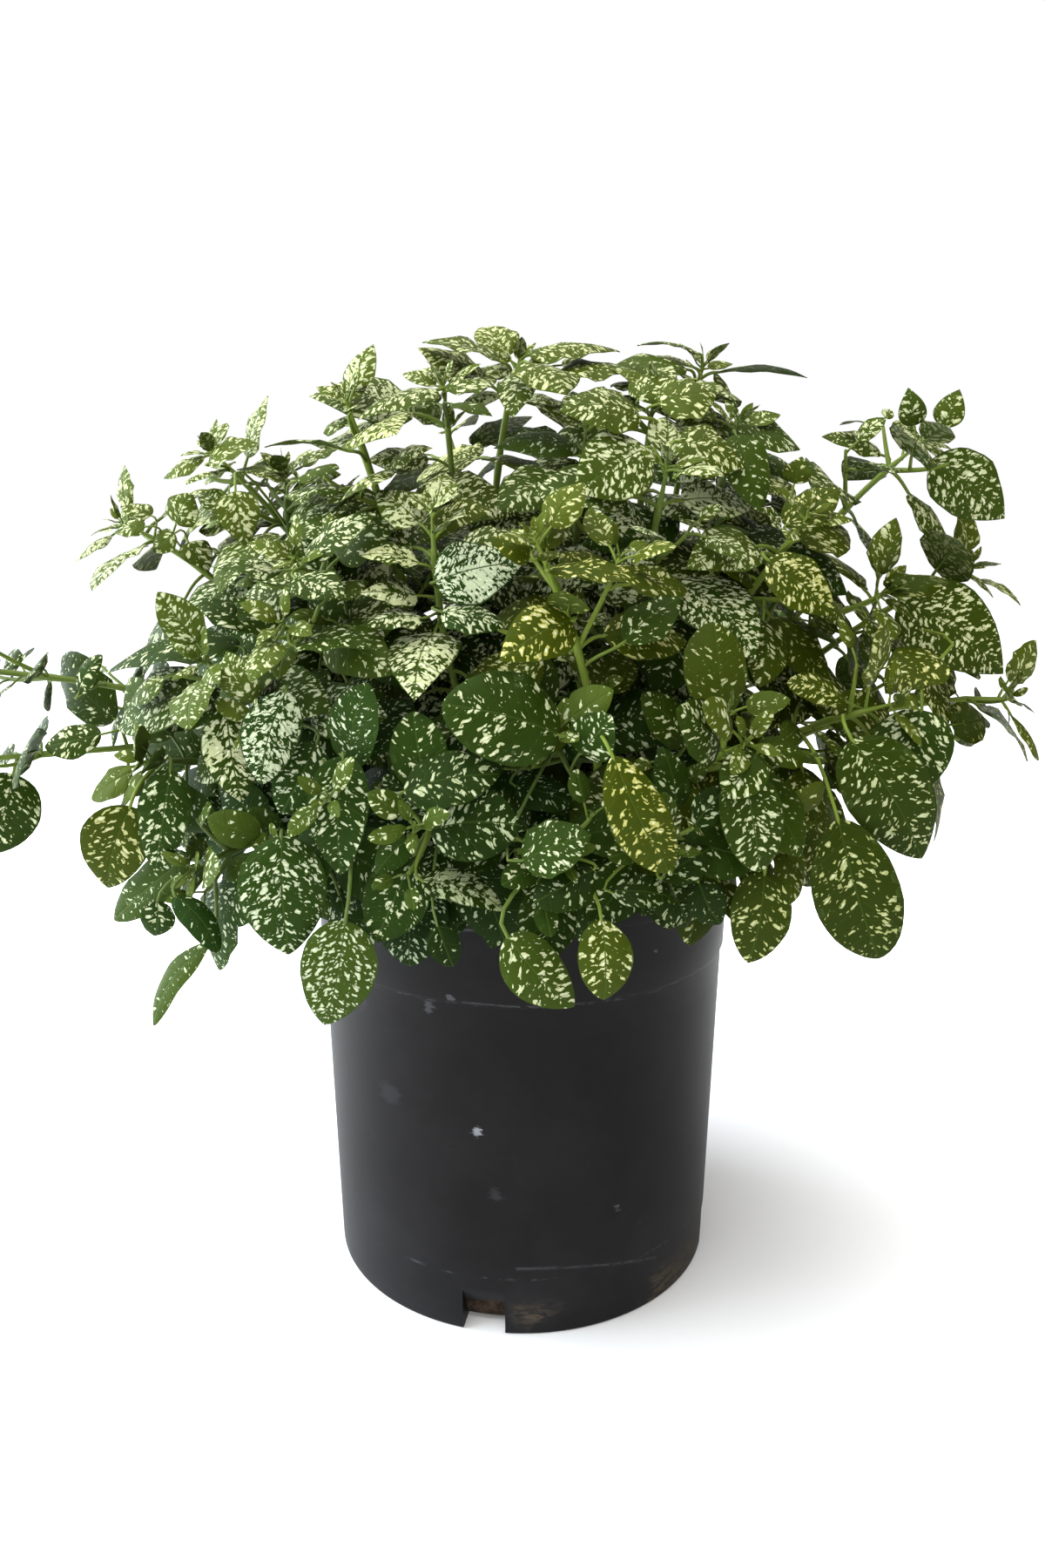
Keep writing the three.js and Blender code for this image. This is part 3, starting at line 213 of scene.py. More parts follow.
# Posed leaves by shoot: blade base, blade tip, width, and how far the face turns up from the front. Some
# have a look of their own: tone, spots, and how light the green is.
POSED = [
    ("bright_stem", [((10, -132, 226), (-21, -137, 235), 25, 0, 0.15, 0.4),
        ((23, -139, 222), (39, -137, 190), 16, 0, 0.95, 0.5),
        ((13, -126, 256), (-6, -134, 246), 16, 0, 0.9, 0.5),
        ((7, -121, 269), (41, -121, 264), 15, 50, 0.85, 0.5),
        ((28, -119, 250), (44, -113, 262), 14, 20, 0.3, 0.42),
        ((2, -119, 272), (-9, -118, 278), 8, 20, 0.95, 0.3)]),
    ("cream_tip", [((-24, -113, 266), (0, -107, 271), 20, 10, -0.5, 1),
        ((-22, -118, 258), (-5, -119, 254), 15, 40, -0.3, 0.8),
        ((-29, -109, 271), (-45, -109, 273), 13, 45, 0.5, 0.95),
        ((-28, -112, 256), (-43, -117, 254), 12, 45, 0.3, 0.9)]),
    ("left_face", [((-83, -98, 247), (-124, -95, 239), 20, 50, -0.1, 0.4)]),
    ("left_star", [((-62, -121, 249), (-38, -125, 248), 16, 50), ((-70, -111, 251), (-80, -107, 262), 13, 30),
        ((-80, -100, 252), (-95, -94, 261), 12, 35)]),
    ("left_olive", [((-61, -108, 271), (-41, -104, 285), 15, 45),
        ((-60, -112, 267), (-46, -119, 262), 15, 30), ((-69, -101, 269), (-90, -99, 270), 15, 50)]),
    ("left_white", [((-64, -125, 237), (-71, -129, 212), 16, 0, -0.5, 0.85),
        ((-82, -119, 232), (-78, -123, 206), 16, 0, 0.2, 0.9), ((-57, -121, 222), (-67, -125, 203), 15, 0)]),
    ("left_round", [((-114, -110, 202), (-124, -106, 176), 20, 0, 0.65, 0.5, 0.1),
        ((-101, -112, 213), (-107, -113, 183), 15, 10, -0.3, 0.5)]),
    ("low_left", [((-103, -111, 186), (-129, -105, 164), 14, 20, None, None, 0.35),
        ((-107, -113, 174), (-110, -109, 162), 10, 0), ((-99, -121, 178), (-86, -126, 163), 9, 20),
        ((-91, -118, 163), (-110, -115, 136), 9, 40, None, None, 0.5)]),
    ("hang_left", [((-65, -134, 199), (-64, -136, 166), 24, 0, -0.5, 0.54, 0.08)]),
    ("front_left", [((-48, -137, 176), (-55, -135, 145), 21, 0, -0.6, 0.55, 0.42),
        ((-47, -126, 220), (-48, -130, 188), 17, 10, -0.3, 0.48)]),
    ("rim_left", [((-32, -134, 211), (-6, -135, 216), 17, 20, 0, 0.5),
        ((-25, -137, 201), (-1, -140, 203), 21, 0, -0.1, 0.5),
        ((-27, -136, 187), (-5, -137, 179), 13, 40, 0.4, 0.85), ((-23, -138, 175), (-19, -137, 163), 9, 0)]),
    ("rim_mid", [((-4, -141, 173), (14, -141, 153), 16, 0, 0, 0.5, 0.3),
        ((21, -141, 178), (22, -141, 155), 15, 0, 0.6, 0.5, 0.15),
        ((19, -139, 191), (3, -143, 183), 14, 20)]),
    ("mid_front", [((0, -129, 194), (18, -129, 201), 16, 20, -0.35, 0.46, 0.1),
        ((-2, -127, 210), (14, -127, 205), 13, 30)]),
    ("rim_right", [((24, -137, 184), (39, -137, 183), 11, 30), ((38, -133, 187), (52, -128, 194), 12, 20),
        ((47, -130, 201), (56, -126, 211), 9, 0), ((49, -127, 184), (56, -125, 171), 11, 0)]),
    ("right_front", [((59, -131, 217), (65, -131, 188), 17, 0), ((63, -131, 221), (54, -136, 210), 13, 0),
        ((64, -128, 222), (78, -124, 219), 13, 40, None, None, -0.15)]),
    ("right_arm", [((88, -123, 201), (102, -123, 160), 24, 0, 0.7, 0.42, -0.4),
        ((86, -113, 223), (109, -110, 188), 24, 0, 0.5, 0.42, -0.3)]),
    ("far_right", [((121, -66, 260), (156, -66, 236), 27, 0, 0.5, 0.6),
        ((126, -90, 243), (108, -96, 233), 18, 20)]),
    ("far_right_low", [((117, -102, 229), (113, -103, 203), 23, 0, 0.2, 0.62),
        ((102, -105, 231), (84, -106, 237), 11, 30)]),
    ("far_right_high", [((136, -43, 305), (162, -43, 286), 22, 0, 0.2, 0.55),
        ((130, -42, 316), (127, -42, 328), 9, 0), ((135, -44, 315), (139, -44, 327), 10, 0),
        ((124, -28, 308), (103, -28, 314), 12, 35)]),
    ("dark_right", [((66, -68, 314), (87, -64, 306), 20, 35, -0.3, 0.42),
        ((64, -78, 309), (71, -84, 286), 16, 20, -0.3, 0.36)]),
    ("upper_right", [((44, -84, 306), (64, -82, 299), 21, 22, 0.55, 0.6),
        ((36, -90, 304), (15, -97, 291), 23, 0, 0.35, 0.74)]),
    ("crown_right", [((60, -28, 341), (39, -26, 344), 14, 62, 0.4, 0.5),
        ((66, -28, 335), (97, -29, 333), 9, 76, -0.1, 0.3)]),
    ("crown_mid", [((36, -64, 321), (47, -58, 332), 17, 30, 0.5, 0.62),
        ((41, -76, 318), (59, -72, 322), 20, 25, 0.6, 0.5),
        ((33, -82, 313), (9, -88, 314), 18, 22, 0.45, 0.6)]),
    ("crown_front", [((-7, -54, 334), (-32, -52, 340), 18, 50, 0.45, 0.5),
        ((2, -62, 332), (13, -80, 320), 22, 30, 0.55, 0.62),
        ((2, -48, 337), (32, -42, 339), 19, 48, 0.55, 0.6),
        ((13, -56, 331), (42, -48, 331), 19, 45, 0.5, 0.56)]),
    ("crown_left", [((-26, -70, 323), (-49, -80, 313), 20, 48, 0.35, 0.72),
        ((-23, -68, 323), (-8, -62, 327), 17, 45, 0.3, 0.6)]),
    ("yellow_right", [((78, -87, 282), (95, -83, 293), 14, 20), ((71, -97, 272), (91, -99, 256), 18, 20)]),
    ("right_hang", [((68, -124, 186), (65, -121, 158), 17, 0)]),
    ("left_high", [((-85, -86, 292), (-82, -89, 276), 13, 0), ((-106, -42, 306), (-120, -42, 299), 11, 45),
        ((-102, -52, 303), (-85, -52, 309), 15, 40)]),
    ("star", [((-52, -81, 304), (-77, -81, 305), 13, 72, 0.4, 0.5),
        ((-54, -82, 293), (-71, -84, 290), 14, 55, 0.2, 0.6)]),
    ("left_arm_high", [((-177, -60, 234), (-177, -62, 248), 9, 10),
        ((-141, -74, 231), (-132, -76, 243), 8, 30)]),
    ("left_arm_low", [((-131, -84, 219), (-149, -84, 215), 12, 20),
        ((-171, -60, 202), (-182, -60, 174), 23, 0)]),
    ("crown_front", [((0, -60, 329), (-3, -74, 314), 13, 10, 0.2, 0.8)]),
    ("crown_right", [((55, -34, 335), (31, -36, 336), 20, 42, 0.1, 0.36)]),
    ("mid_high", [((16, -62, 308), (-9, -68, 306), 17, 35, -0.5, 0.28),
        ((7, -60, 300), (-13, -64, 303), 15, 50, 0.5, 0.3)]),
    ("crown_left", [((-21, -76, 318), (-9, -80, 314), 11, 45, -0.2, 0.3)]),
    ("left_fork", [((-77, -50, 298), (-93, -52, 301), 15, 50, 0.2, 0.45),
        ((-72, -60, 297), (-57, -68, 300), 13, 50, 0.1, 0.42)]),
    ("yellow_right", [((83, -75, 295), (85, -75, 303), 9, 10, 0.6, 0.45)]),
    ("left_cluster", [((-125, -42, 287), (-136, -40, 290), 9, 30, 0.3, 0.6),
        ((-124, -52, 283), (-135, -50, 281), 8, 25, 0.3, 0.6),
        ((-115, -48, 284), (-109, -48, 294), 13, 20, 0.3, 0.6),
        ((-115, -50, 281), (-125, -50, 273), 12, 20, 0.2, 0.6),
        ((-110, -52, 278), (-103, -54, 269), 12, 20, 0.25, 0.6)]),
]


def scatter(a, b=0, c=0):
    """Repeatable number between 0 and 1: the fraction of a large sine of the three numbers."""
    wave = math.sin(a * 12.9898 + b * 78.233 + c * 37.719) * 43758.5453
    return wave - math.floor(wave)


def unit(v):
    """v made unit length."""
    return v / np.linalg.norm(v)


def square(v, axis):
    """Part of v at right angles to the unit vector axis, made unit length."""
    return unit(v - axis * np.dot(v, axis))


def turned(v, axis, angle):
    """v turned by the right-hand rule about a unit axis at right angles to it."""
    return v * math.cos(angle) + np.cross(axis, v) * math.sin(angle)


def bezier(points, t):
    """Cubic Bezier curve through arrays of t."""
    t = np.asarray(t, float)[..., None]
    p0, p1, p2, p3 = points
    return (1 - t) ** 3 * p0 + 3 * (1 - t) ** 2 * t * p1 + 3 * (1 - t) * t ** 2 * p2 + t ** 3 * p3


def smooth_step(x, low, high):
    """0 below low, 1 above high, and between them 3 s squared less 2 s cubed of the share s."""
    s = np.clip((x - low) / (high - low), 0, 1)
    return s * s * (3 - 2 * s)


def new_object(name, data):
    """Object of the data, in the scene."""
    thing = bpy.data.objects.new(name, data)
    bpy.context.scene.collection.objects.link(thing)
    return thing


# Reading the stems and leaves from the solids.

def solid_points(name):
    """Different corners of a node's solid, in millimetres."""
    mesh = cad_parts[name].data
    points = np.empty(len(mesh.vertices) * 3, np.float32)
    mesh.vertices.foreach_get("co", points)
    return np.unique(np.round(points.reshape(-1, 3).astype(float) / MM, 4), axis=0)


def holds(points, place):
    """True where one of the points lies at that place."""
    return bool((np.abs(points - place).max(axis=1) < SAME_PLACE).any())


def first_held(points, tries):
    """First of the tried leaves whose tip is a corner of the solid."""
    return next((leaf for leaf in tries if holds(points, leaf["end"])), None)


def stem_curve(shoot, bend):
    """Control points of the stem from its collar to its tip, moved sideways by the bend."""
    root = np.array([*shoot["root"][:2], COLLAR_HEIGHT])
    tip = np.array(shoot["tip"], float)
    sideways = shoot["sideways"]
    span = np.linalg.norm(tip - root)
    rise = root + shoot["outward"] * span * 0.12 + UP * span * 0.42
    rise = np.array(RISE_POINTS.get(shoot["id"], rise), float)
    fall = tip - unit(np.array(shoot["aim"], float)) * span * 0.36
    return root, rise + sideways * bend, fall + sideways * bend * 0.6, tip


def stem_path(shoot, count):
    """Points along the stem's curve, from its collar to its tip."""
    return bezier(shoot["curve"], np.linspace(0, 1, count))


def stem_stations(shoot, bend):
    """Points along the stem, from its foot in the mix through its collar to the tip."""
    curve = bezier(stem_curve(shoot, bend), np.arange(STEM_STEPS + 1) / STEM_STEPS)
    return np.vstack([[*curve[0, :2], FOOT_HEIGHT], curve])


def stem_frame(shoot, stations, i):
    """Along, across and over directions at station i."""
    before, after = stations[max(0, i - 1)], stations[min(len(stations) - 1, i + 1)]
    along = UP if i <= 1 else unit(after - before)
    across = square(shoot["sideways"], along)
    return along, across, np.cross(along, across)


def along_stem(shoot, from_tip):
    """Point and frame at a distance back from the tip, measured along the stations."""
    stations = shoot["stations"]
    left = from_tip
    i = len(stations) - 1
    while i > 2 and left > np.linalg.norm(stations[i] - stations[i - 1]):
        left -= np.linalg.norm(stations[i] - stations[i - 1])
        i -= 1
    share = min(left / np.linalg.norm(stations[i] - stations[i - 1]), 0.95)
    point = stations[i] + (stations[i - 1] - stations[i]) * share
    return (point,) + stem_frame(shoot, stations, i)


def stem_matches(shoot, bend, points):
    """How many of the stem's corners the solid has if the stem takes this bend."""
    stations = stem_stations(shoot, bend)
    found = 0
    for i in range(2, len(stations)):
        _, across, over = stem_frame(shoot, stations, i)
        radius = STEM_ROOT_RADIUS + (STEM_TIP_RADIUS - STEM_ROOT_RADIUS) * max(0, i - 1) / STEM_STEPS
        for angle in np.radians(STEM_CORNERS_DEG):
            corner = stations[i] + across * radius * math.cos(angle) + over * radius * math.sin(angle)
            found += holds(points, corner)
    return found


def make_leaf(start, base, end, width, facing):
    """Leaf with its directions: along it, out of its face, and across it at right angles to both."""
    along = unit(end - base)
    face = square(facing, along)
    return {
        "start": start, "base": base, "end": end, "width": width, "along": along, "face": face,
        "across": np.cross(along, face), "length": float(np.linalg.norm(end - base)),
    }


def stalk_start(shoot, base):
    """Place on the stem that is nearest to a blade's base, moved back so that the stalk leans on."""
    tries = np.arange(1, 150, 2)
    gaps = [np.linalg.norm(along_stem(shoot, d)[0] - base) for d in tries]
    best = int(np.argmin(gaps))
    return along_stem(shoot, tries[best] + gaps[best] * 0.35)[0]


def posed_leaf(row, shift, size):
    """The face of a posed leaf looks to the front and turns up about the leaf's own length."""
    base, end, width, turn = np.array(row[0], float), np.array(row[1], float), row[2], row[3]
    outward = unit(base * [1, 1, 0]) * shift
    base, end = base + outward, end + outward
    end = base + (end - base) * size
    along = unit(end - base)
    front = square(np.array([-base[0] * 0.5, -180, 60]), along)
    level = square(UP, along)
    angle = math.radians(turn)
    facing = turned(front, along, -angle if np.dot(np.cross(front, level), along) < 0 else angle)
    return make_leaf(base, base, end, width * size, facing)


def pair_distance(k):
    """How far pair k stands from the tip: joints get longer towards the root, with k squared."""
    return 3 + 7 * k + 4 * k * k


def pair_leaf(shoot, k, side, yaw, lift, size):
    """Leaf of pair k, counted from the tip, on one side of the stem."""
    point, *directions = along_stem(shoot, pair_distance(k))
    vary = scatter(shoot["number"], k, side)
    length = shoot["leaf"] * PAIR_SIZES[k] * (0.88 + 0.24 * vary) * size
    droop = 0.1 + 0.12 * k + 0.2 * scatter(shoot["number"], k, side + 2)
    width = length * (LEAF_SLENDERNESS + 0.1 * (vary - 0.5))
    spin = shoot["spin"] + k * 90 + side * 180 + yaw
    return stem_leaf(point, directions, spin, PAIR_LIFTS_DEG[k] + lift, length, width, droop)


def stem_leaf(point, directions, spin_deg, raise_deg, length, width, droop):
    """Leaf that leaves a stem at a spin round it and a raise towards its tip, and then droops."""
    along, across, over = directions
    spin, raised = math.radians(spin_deg), math.radians(raise_deg)
    sideways = across * math.cos(spin) + over * math.sin(spin)
    stalk = unit(sideways * math.cos(raised) + along * math.sin(raised))
    base = point + stalk * (2.5 + length * 0.26)
    end = base + unit(stalk - UP * droop) * length
    high = min(max((base[2] - 170) / 110, 0), 1)
    outward = unit(base * [1, 1, 0])
    front = min(max(0.4 - base[1] / 80, 0), 1)
    facing = outward * (1 - 0.55 * high) + UP * (0.3 + 0.5 * high) + along * 0.15
    facing = facing + FRONT * (0.45 * front * high)
    return make_leaf(point, base, end, width, facing)


def back_rows():
    """Rows of the hidden back's shoots, spread over tiers round the plant, each a little off its place."""
    rows = []
    for count, first, last, reach, height, lean in BACK_TIERS:
        for angle in np.radians(np.linspace(first, last, count)):
            push = BACK_SCATTER * (scatter(len(rows), 5) - 0.5)
            lift = 2 * BACK_SCATTER * (scatter(len(rows), 6) - 0.5)
            aim = (math.cos(angle), math.sin(angle), lean)
            tip = ((reach[0] + push) * aim[0], (reach[1] + push) * aim[1], height + lift)
            tone = 0.5 * scatter(len(rows), 7) - 0.15
            rows.append((f"back_{len(rows) + 1}", tip, aim, BACK_PAIRS, BACK_LEAF, tone, BACK_SPOTS))
    return rows


def look_of(leaf, shoot, young, seed, rank):
    """Adds the leaf's own colour, a little off its shoot's, its seed and its rank.

    young is how light its green is: the leaf's youth, with painted light that makes it
    lighter towards the crown and, higher up, to the left, and painted shade that makes it darker low down
    in the middle. The spots are denser in the crown and sparser below it.
    """
    right, _, height = leaf["base"]
    # Painted light: lighter green high in the crown and, higher up, on the left. Painted shade: darker green
    # low down in the middle.
    light = 0.5 * smooth_step(height, 265, 335)
    left = 0.78 * smooth_step(height, 250, 295) * smooth_step(-right, 40, 90)
    dark = 0.5 * smooth_step(240 - height, 0, 50) * smooth_step(110 - abs(right), 0, 70)
    more = 0.13 * smooth_step(height, 255, 300) - 0.1 * smooth_step(245 - height, 0, 45)
    more -= 0.08 * smooth_step(-right, 30, 80) * smooth_step(275 - height, 0, 20)
    spots = np.clip(shoot["spots"] + 0.3 * (scatter(seed, 12) - 0.5), 0, 1)
    leaf["tone"] = float(np.clip(shoot["tone"] + 0.35 * (scatter(seed, 11) - 0.5), -1, 1))
    leaf["spots"] = float(np.clip(spots + more, 0, 1))
    leaf["young"] = max(young, light, left) - dark
    leaf["seed"], leaf["rank"] = seed, rank


def read_shoot(number, row):
    """One shoot with its stem and every leaf that its solid has."""
    node = f"leafy_stem_{number:02d}"
    points = solid_points(node)
    foot = points[np.abs(points[:, 2] - FOOT_HEIGHT) < SAME_PLACE]
    root = np.append(foot[:, :2].mean(axis=0), 0.0)
    outward = unit(root)
    shoot = dict(zip(("id", "tip", "aim", "pairs", "leaf", "tone", "spots"), row))
    shoot.update(number=number, node=node, root=root, outward=outward, spin=180 * scatter(number, 1),
                 sideways=np.array([-outward[1], outward[0], 0]), leaves=[], twigs=[])
    bend = max(STEM_BENDS, key=lambda b: stem_matches(shoot, b, points))
    shoot["stations"], shoot["curve"] = stem_stations(shoot, bend), stem_curve(shoot, bend)
    posed = [(owner, blade) for owner, blades in POSED for blade in blades]
    for i, (owner, blade) in enumerate(posed):
        tries = (posed_leaf(blade, shift, size) for size in SIZE_TRIES for shift in POSED_SHIFTS)
        leaf = first_held(points, tries) if owner == shoot["id"] else None
        if leaf is not None:
            leaf["start"] = stalk_start(shoot, leaf["base"])
            look_of(leaf, shoot, 0.0, POSED_SEED + i, "posed")
            leaf.update((key, value) for key, value in zip(("tone", "spots", "young"), blade[4:])
                        if value is not None)
            shoot["leaves"].append(leaf)
    for k in range(shoot["pairs"]):
        for side in range(2):
            leaf = first_held(points, (pair_leaf(shoot, k, side, yaw, lift, size) for size in SIZE_TRIES
                                       for lift in LIFT_TRIES_DEG for yaw in YAW_TRIES_DEG))
            if leaf is not None:
                look_of(leaf, shoot, PAIR_YOUNG[k], PAIR_SEED + number * 20 + k * 2 + side, "pair")
                shoot["leaves"].append(leaf)
    return shoot


# Forms of blades, stalks and stems.

def blade_outline(t, wedge, taper):
    """Half width at t as a share of the widest: t to the power wedge times 1 - t to the power taper."""
    peak = wedge / (wedge + taper)
    return t ** wedge * (1 - t) ** taper / (peak ** wedge * (1 - peak) ** taper)


def blade_point(leaf, t, a):
    """Middle surface of a blade at t along it and a across it, -1 to 1, with the place across in mm.

    The midline is the chord plus 4 t (1 - t) of the arch. Across it the halves rise to a slight
    fold, curl down with a squared, and wave along the margin; the blade also twists along its length.
    """
    seed, length = leaf["seed"], leaf["length"]
    wedge = 0.46 + 0.2 * scatter(seed, 1)
    taper = 0.58 + 0.24 * scatter(seed, 9) + 0.26 * smooth_step(leaf["base"][2], 215, 275)
    half = leaf["width"] / 2 * blade_outline(t, wedge, taper)
    fold = 0.02 + 0.2 * scatter(seed, 2)
    curl = 0.1 + 0.22 * scatter(seed, 3)
    swell = 0.05 + 0.09 * scatter(seed, 4)
    turns = 1.6 + 1.6 * scatter(seed, 5)
    twist = 0.5 * (scatter(seed, 6) - 0.5) * (t - 0.35)
    bend = 0.1 * (scatter(seed, 7) - 0.5) * length * np.sin(math.pi * t)
    phase = 2 * math.pi * scatter(seed, 8) + np.where(a > 0, 1.9, 0.0)
    place = a * half
    wave = swell * a * a * np.sin(2 * math.pi * turns * t + phase) * np.sin(math.pi * np.sqrt(t))
    height = half * (fold * np.abs(a) - curl * a * a + wave) + 4 * LEAF_ARCH * length * t * (1 - t)
    chord = leaf["base"] + (leaf["end"] - leaf["base"]) * t[..., None]
    out, over = place * np.cos(twist) + bend, height + place * np.sin(twist)
    return chord + leaf["across"] * out[..., None] + leaf["face"] * over[..., None], place


def stalk_path(leaf, steps):
    """Stalk from inside the stem to the blade's base, on along its midrib for a short way."""
    start, base = leaf["start"], leaf["base"]
    reach = np.linalg.norm(base - start)
    bow = unit(unit(base - start) + UP * 0.35)
    points = (start, start + bow * reach * 0.4, base - leaf["along"] * reach * 0.35, base)
    rib, _ = blade_point(leaf, np.array([0.08, 0.3]), np.zeros(2))
    return np.vstack([bezier(points, np.linspace(0, 1, steps)), rib - leaf["face"] * 0.4])


def tube_rings(centres, radii, sides):
    """Rings of points round a path, carried along it with as little turning as can be."""
    steps = np.gradient(centres, axis=0)
    along = steps / np.linalg.norm(steps, axis=1)[:, None]
    side = square(np.array([0.31, 0.87, 0.38]), along[0])
    across = []
    for direction in along:
        side = square(side, direction)
        across.append(side)
    across = np.array(across)
    over = np.cross(along, across)
    angle = (2 * math.pi * np.arange(sides) / sides)[None, :, None]
    ring = across[:, None] * np.cos(angle) + over[:, None] * np.sin(angle)
    return centres[:, None] + ring * np.asarray(radii, float)[:, None, None]


def signed_volume(corners, faces):
    """Six times the volume under flat faces of three or four corners, as their fans' triple products."""
    first = corners[faces[:, 0]]
    crosses = sum(np.cross(corners[faces[:, k]], corners[faces[:, k + 1]])
                  for k in range(1, faces.shape[1] - 1))
    return np.einsum("ij,ij->", first, crosses)


class Piece:
    """Gathers closed lofts into one mesh, with point attributes and a material for each face."""

    def __init__(self):
        self.points, self.faces, self.kinds, self.rim = [], [], [], []
        self.notes = {"leaf_place": [], "leaf_share": [], "leaf_look": []}
        self.count = 0

    def loft(self, rings, poles, kind=0, notes=(), rim=None):
        """Adds rings of points, n by m, closed at either end by a pole.

        notes are the ring and pole values of the attributes, in their order. The faces are turned
        round where the volume inside them comes out negative.
        """
        n, m = rings.shape[:2]
        points = np.vstack([rings.reshape(-1, 3), poles])
        index = np.arange(n * m).reshape(n, m)
        after = np.roll(index, -1, axis=1)
        shell = (np.stack([index[:-1], after[:-1], after[1:], index[1:]], axis=-1).reshape(-1, 4),
                 np.stack([np.full(m, n * m), after[0], index[0]], axis=-1),
                 np.stack([np.full(m, n * m + 1), index[-1], after[-1]], axis=-1))
        corners = points - points.mean(axis=0)
        inside_out = sum(signed_volume(corners, faces) for faces in shell) < 0
        for faces in shell:
            self.faces.append((faces[:, ::-1] if inside_out else faces) + self.count)
            self.kinds.append(np.full(len(faces), kind))
        self.points.append(points)
        for values, (at_rings, at_poles) in zip(self.notes.values(), notes):
            at_rings = np.broadcast_to(at_rings, rings.shape).reshape(-1, 3)
            values.append(np.vstack([at_rings, np.broadcast_to(at_poles, (2, 3))]))
        rim = np.zeros(n * m, bool) if rim is None else rim.reshape(-1)
        self.rim.append(np.append(rim, [bool(rim.any())] * 2))
        self.count += len(points)

    def blade(self, leaf, rings, columns):
        """Closed blade: rings round its section at stations along it, with a pole at either end.

        Stations follow the cosine, closer together at the ends. A ring runs over the upper face and
        back under the lower one. Thickness falls from the midrib to nothing at the margin.
        """
        t = 0.5 * (1 - np.cos(math.pi * np.arange(1, rings) / rings))
        a = np.linspace(-1, 1, columns + 1)
        t, a = np.meshgrid(t, np.concatenate([a, a[-2:0:-1]]), indexing="ij")
        under = np.broadcast_to(np.arange(2 * columns) > columns, t.shape)
        points, place = blade_point(leaf, t, a)
        thick = BLADE_EDGE * (1 - a ** 8) + (BLADE_THICK - BLADE_EDGE) * (1 - np.abs(a)) ** 2
        thick = thick * np.minimum(1, leaf["width"] / 12)
        points = points + leaf["face"] * (np.where(under, -0.5, 0.5) * thick)[..., None]
        length, mark = leaf["length"], leaf["seed"] % SEED_MARKS
        where = np.stack([place, t * length, np.full_like(place, mark)], axis=-1)
        look = (leaf["tone"], leaf["spots"], leaf["young"])
        notes = ((where, [[0, 0, mark], [0, length, mark]]),
                 (np.stack([a, t, under], axis=-1), [[0, 0, 0.5], [0, 1, 0.5]]), (look, look))
        self.loft(points, [leaf["base"], leaf["end"]], 0, notes, np.abs(a) > 0.999)

    def tube(self, centres, radii, sides, tone, young, seed):
        """Closed round tube along a path, its ends drawn to a point just past the last rings."""
        rings = tube_rings(centres, radii, sides)
        poles = np.array([centres[0] - unit(centres[1] - centres[0]) * radii[0] * 0.4,
                          centres[-1] + unit(centres[-1] - centres[-2]) * radii[-1] * 0.7])
        length = np.append(0, np.cumsum(np.linalg.norm(np.diff(centres, axis=0), axis=1)))
        place, share = np.zeros(rings.shape), np.zeros(rings.shape)
        place[..., 0] = np.arange(sides) / sides
        place[..., 1] = length[:, None]
        place[..., 2] = seed % SEED_MARKS
        share[..., 1] = (length / length[-1])[:, None]
        look = (tone, 0.5, young)
        self.loft(rings, poles, 1, ((place, place[[0, -1], 0]), (share, share[[0, -1], 0]), (look, look)))

    def finish(self, name, materials):
        """Object of all that was added, in metres, with sharp edges along the rims."""
        mesh = bpy.data.meshes.new(name)
        points = np.vstack(self.points) * MM
        mesh.vertices.add(len(points))
        mesh.vertices.foreach_set("co", points.astype(np.float32).ravel())
        loops = np.concatenate([f.ravel() for f in self.faces])
        sizes = np.concatenate([np.full(len(f), f.shape[1]) for f in self.faces])
        mesh.loops.add(len(loops))
        mesh.loops.foreach_set("vertex_index", loops.astype(np.int32))
        mesh.polygons.add(len(sizes))
        mesh.polygons.foreach_set("loop_start", np.append(0, np.cumsum(sizes)[:-1]).astype(np.int32))
        mesh.polygons.foreach_set("material_index", np.concatenate(self.kinds).astype(np.int32))
        mesh.polygons.foreach_set("use_smooth", np.ones(len(sizes), bool))
        for attribute, values in self.notes.items():
            if values:
                layer = mesh.attributes.new(attribute, "FLOAT_VECTOR", "POINT")
                layer.data.foreach_set("vector", np.vstack(values).astype(np.float32).ravel())
        mesh.update(calc_edges=True)
        mesh.validate()
        edges = np.empty(len(mesh.edges) * 2, np.int32)
        mesh.edges.foreach_get("vertices", edges)
        rim = np.concatenate(self.rim)[edges.reshape(-1, 2)].all(axis=1)
        mesh.attributes.new("sharp_edge", "BOOLEAN", "EDGE").data.foreach_set("value", rim)
        for material in materials:
            mesh.materials.append(material)
        return new_object(name, mesh)


# Room for the leaves that the solids leave out.

class Room:
    """Cells of the plant's space that a blade or stem already takes."""

    CELL = 1.5
    LOW, HIGH = np.array([-235.0, -190.0, 110.0]), np.array([215, 190, 375])

    def __init__(self):
        self.shape = np.ceil((self.HIGH - self.LOW) / self.CELL).astype(int)
        self.taken = np.zeros(self.shape, bool)

    def cells(self, points):
        index = ((points.reshape(-1, 3) - self.LOW) / self.CELL).astype(int)
        return tuple(np.clip(index, 0, self.shape - 1).T)

    def take(self, points):
        self.taken[self.cells(points)] = True

    def share_taken(self, points):
        return self.taken[self.cells(points)].mean()


blade_room, stem_room = Room(), Room()


def blade_grid(first, last, margin, steps, columns):
    """Places along and across a blade at which it is tested."""
    return np.meshgrid(np.linspace(first, last, steps), np.linspace(-margin, margin, columns), indexing="ij")


SAMPLES, FEW_SAMPLES = blade_grid(0.03, 0.99, 0.97, 24, 15), blade_grid(0.05, 0.97, 0.95, 12, 8)


def settle_blade(leaf):
    """Marks the blade, and a cell to either side of it, as taken."""
    points, _ = blade_point(leaf, *SAMPLES)
    for offset in (-1.3, 0, 1.3):
        blade_room.take(points + leaf["face"] * offset)
    stem_room.take(stalk_path(leaf, 14)[3:14])


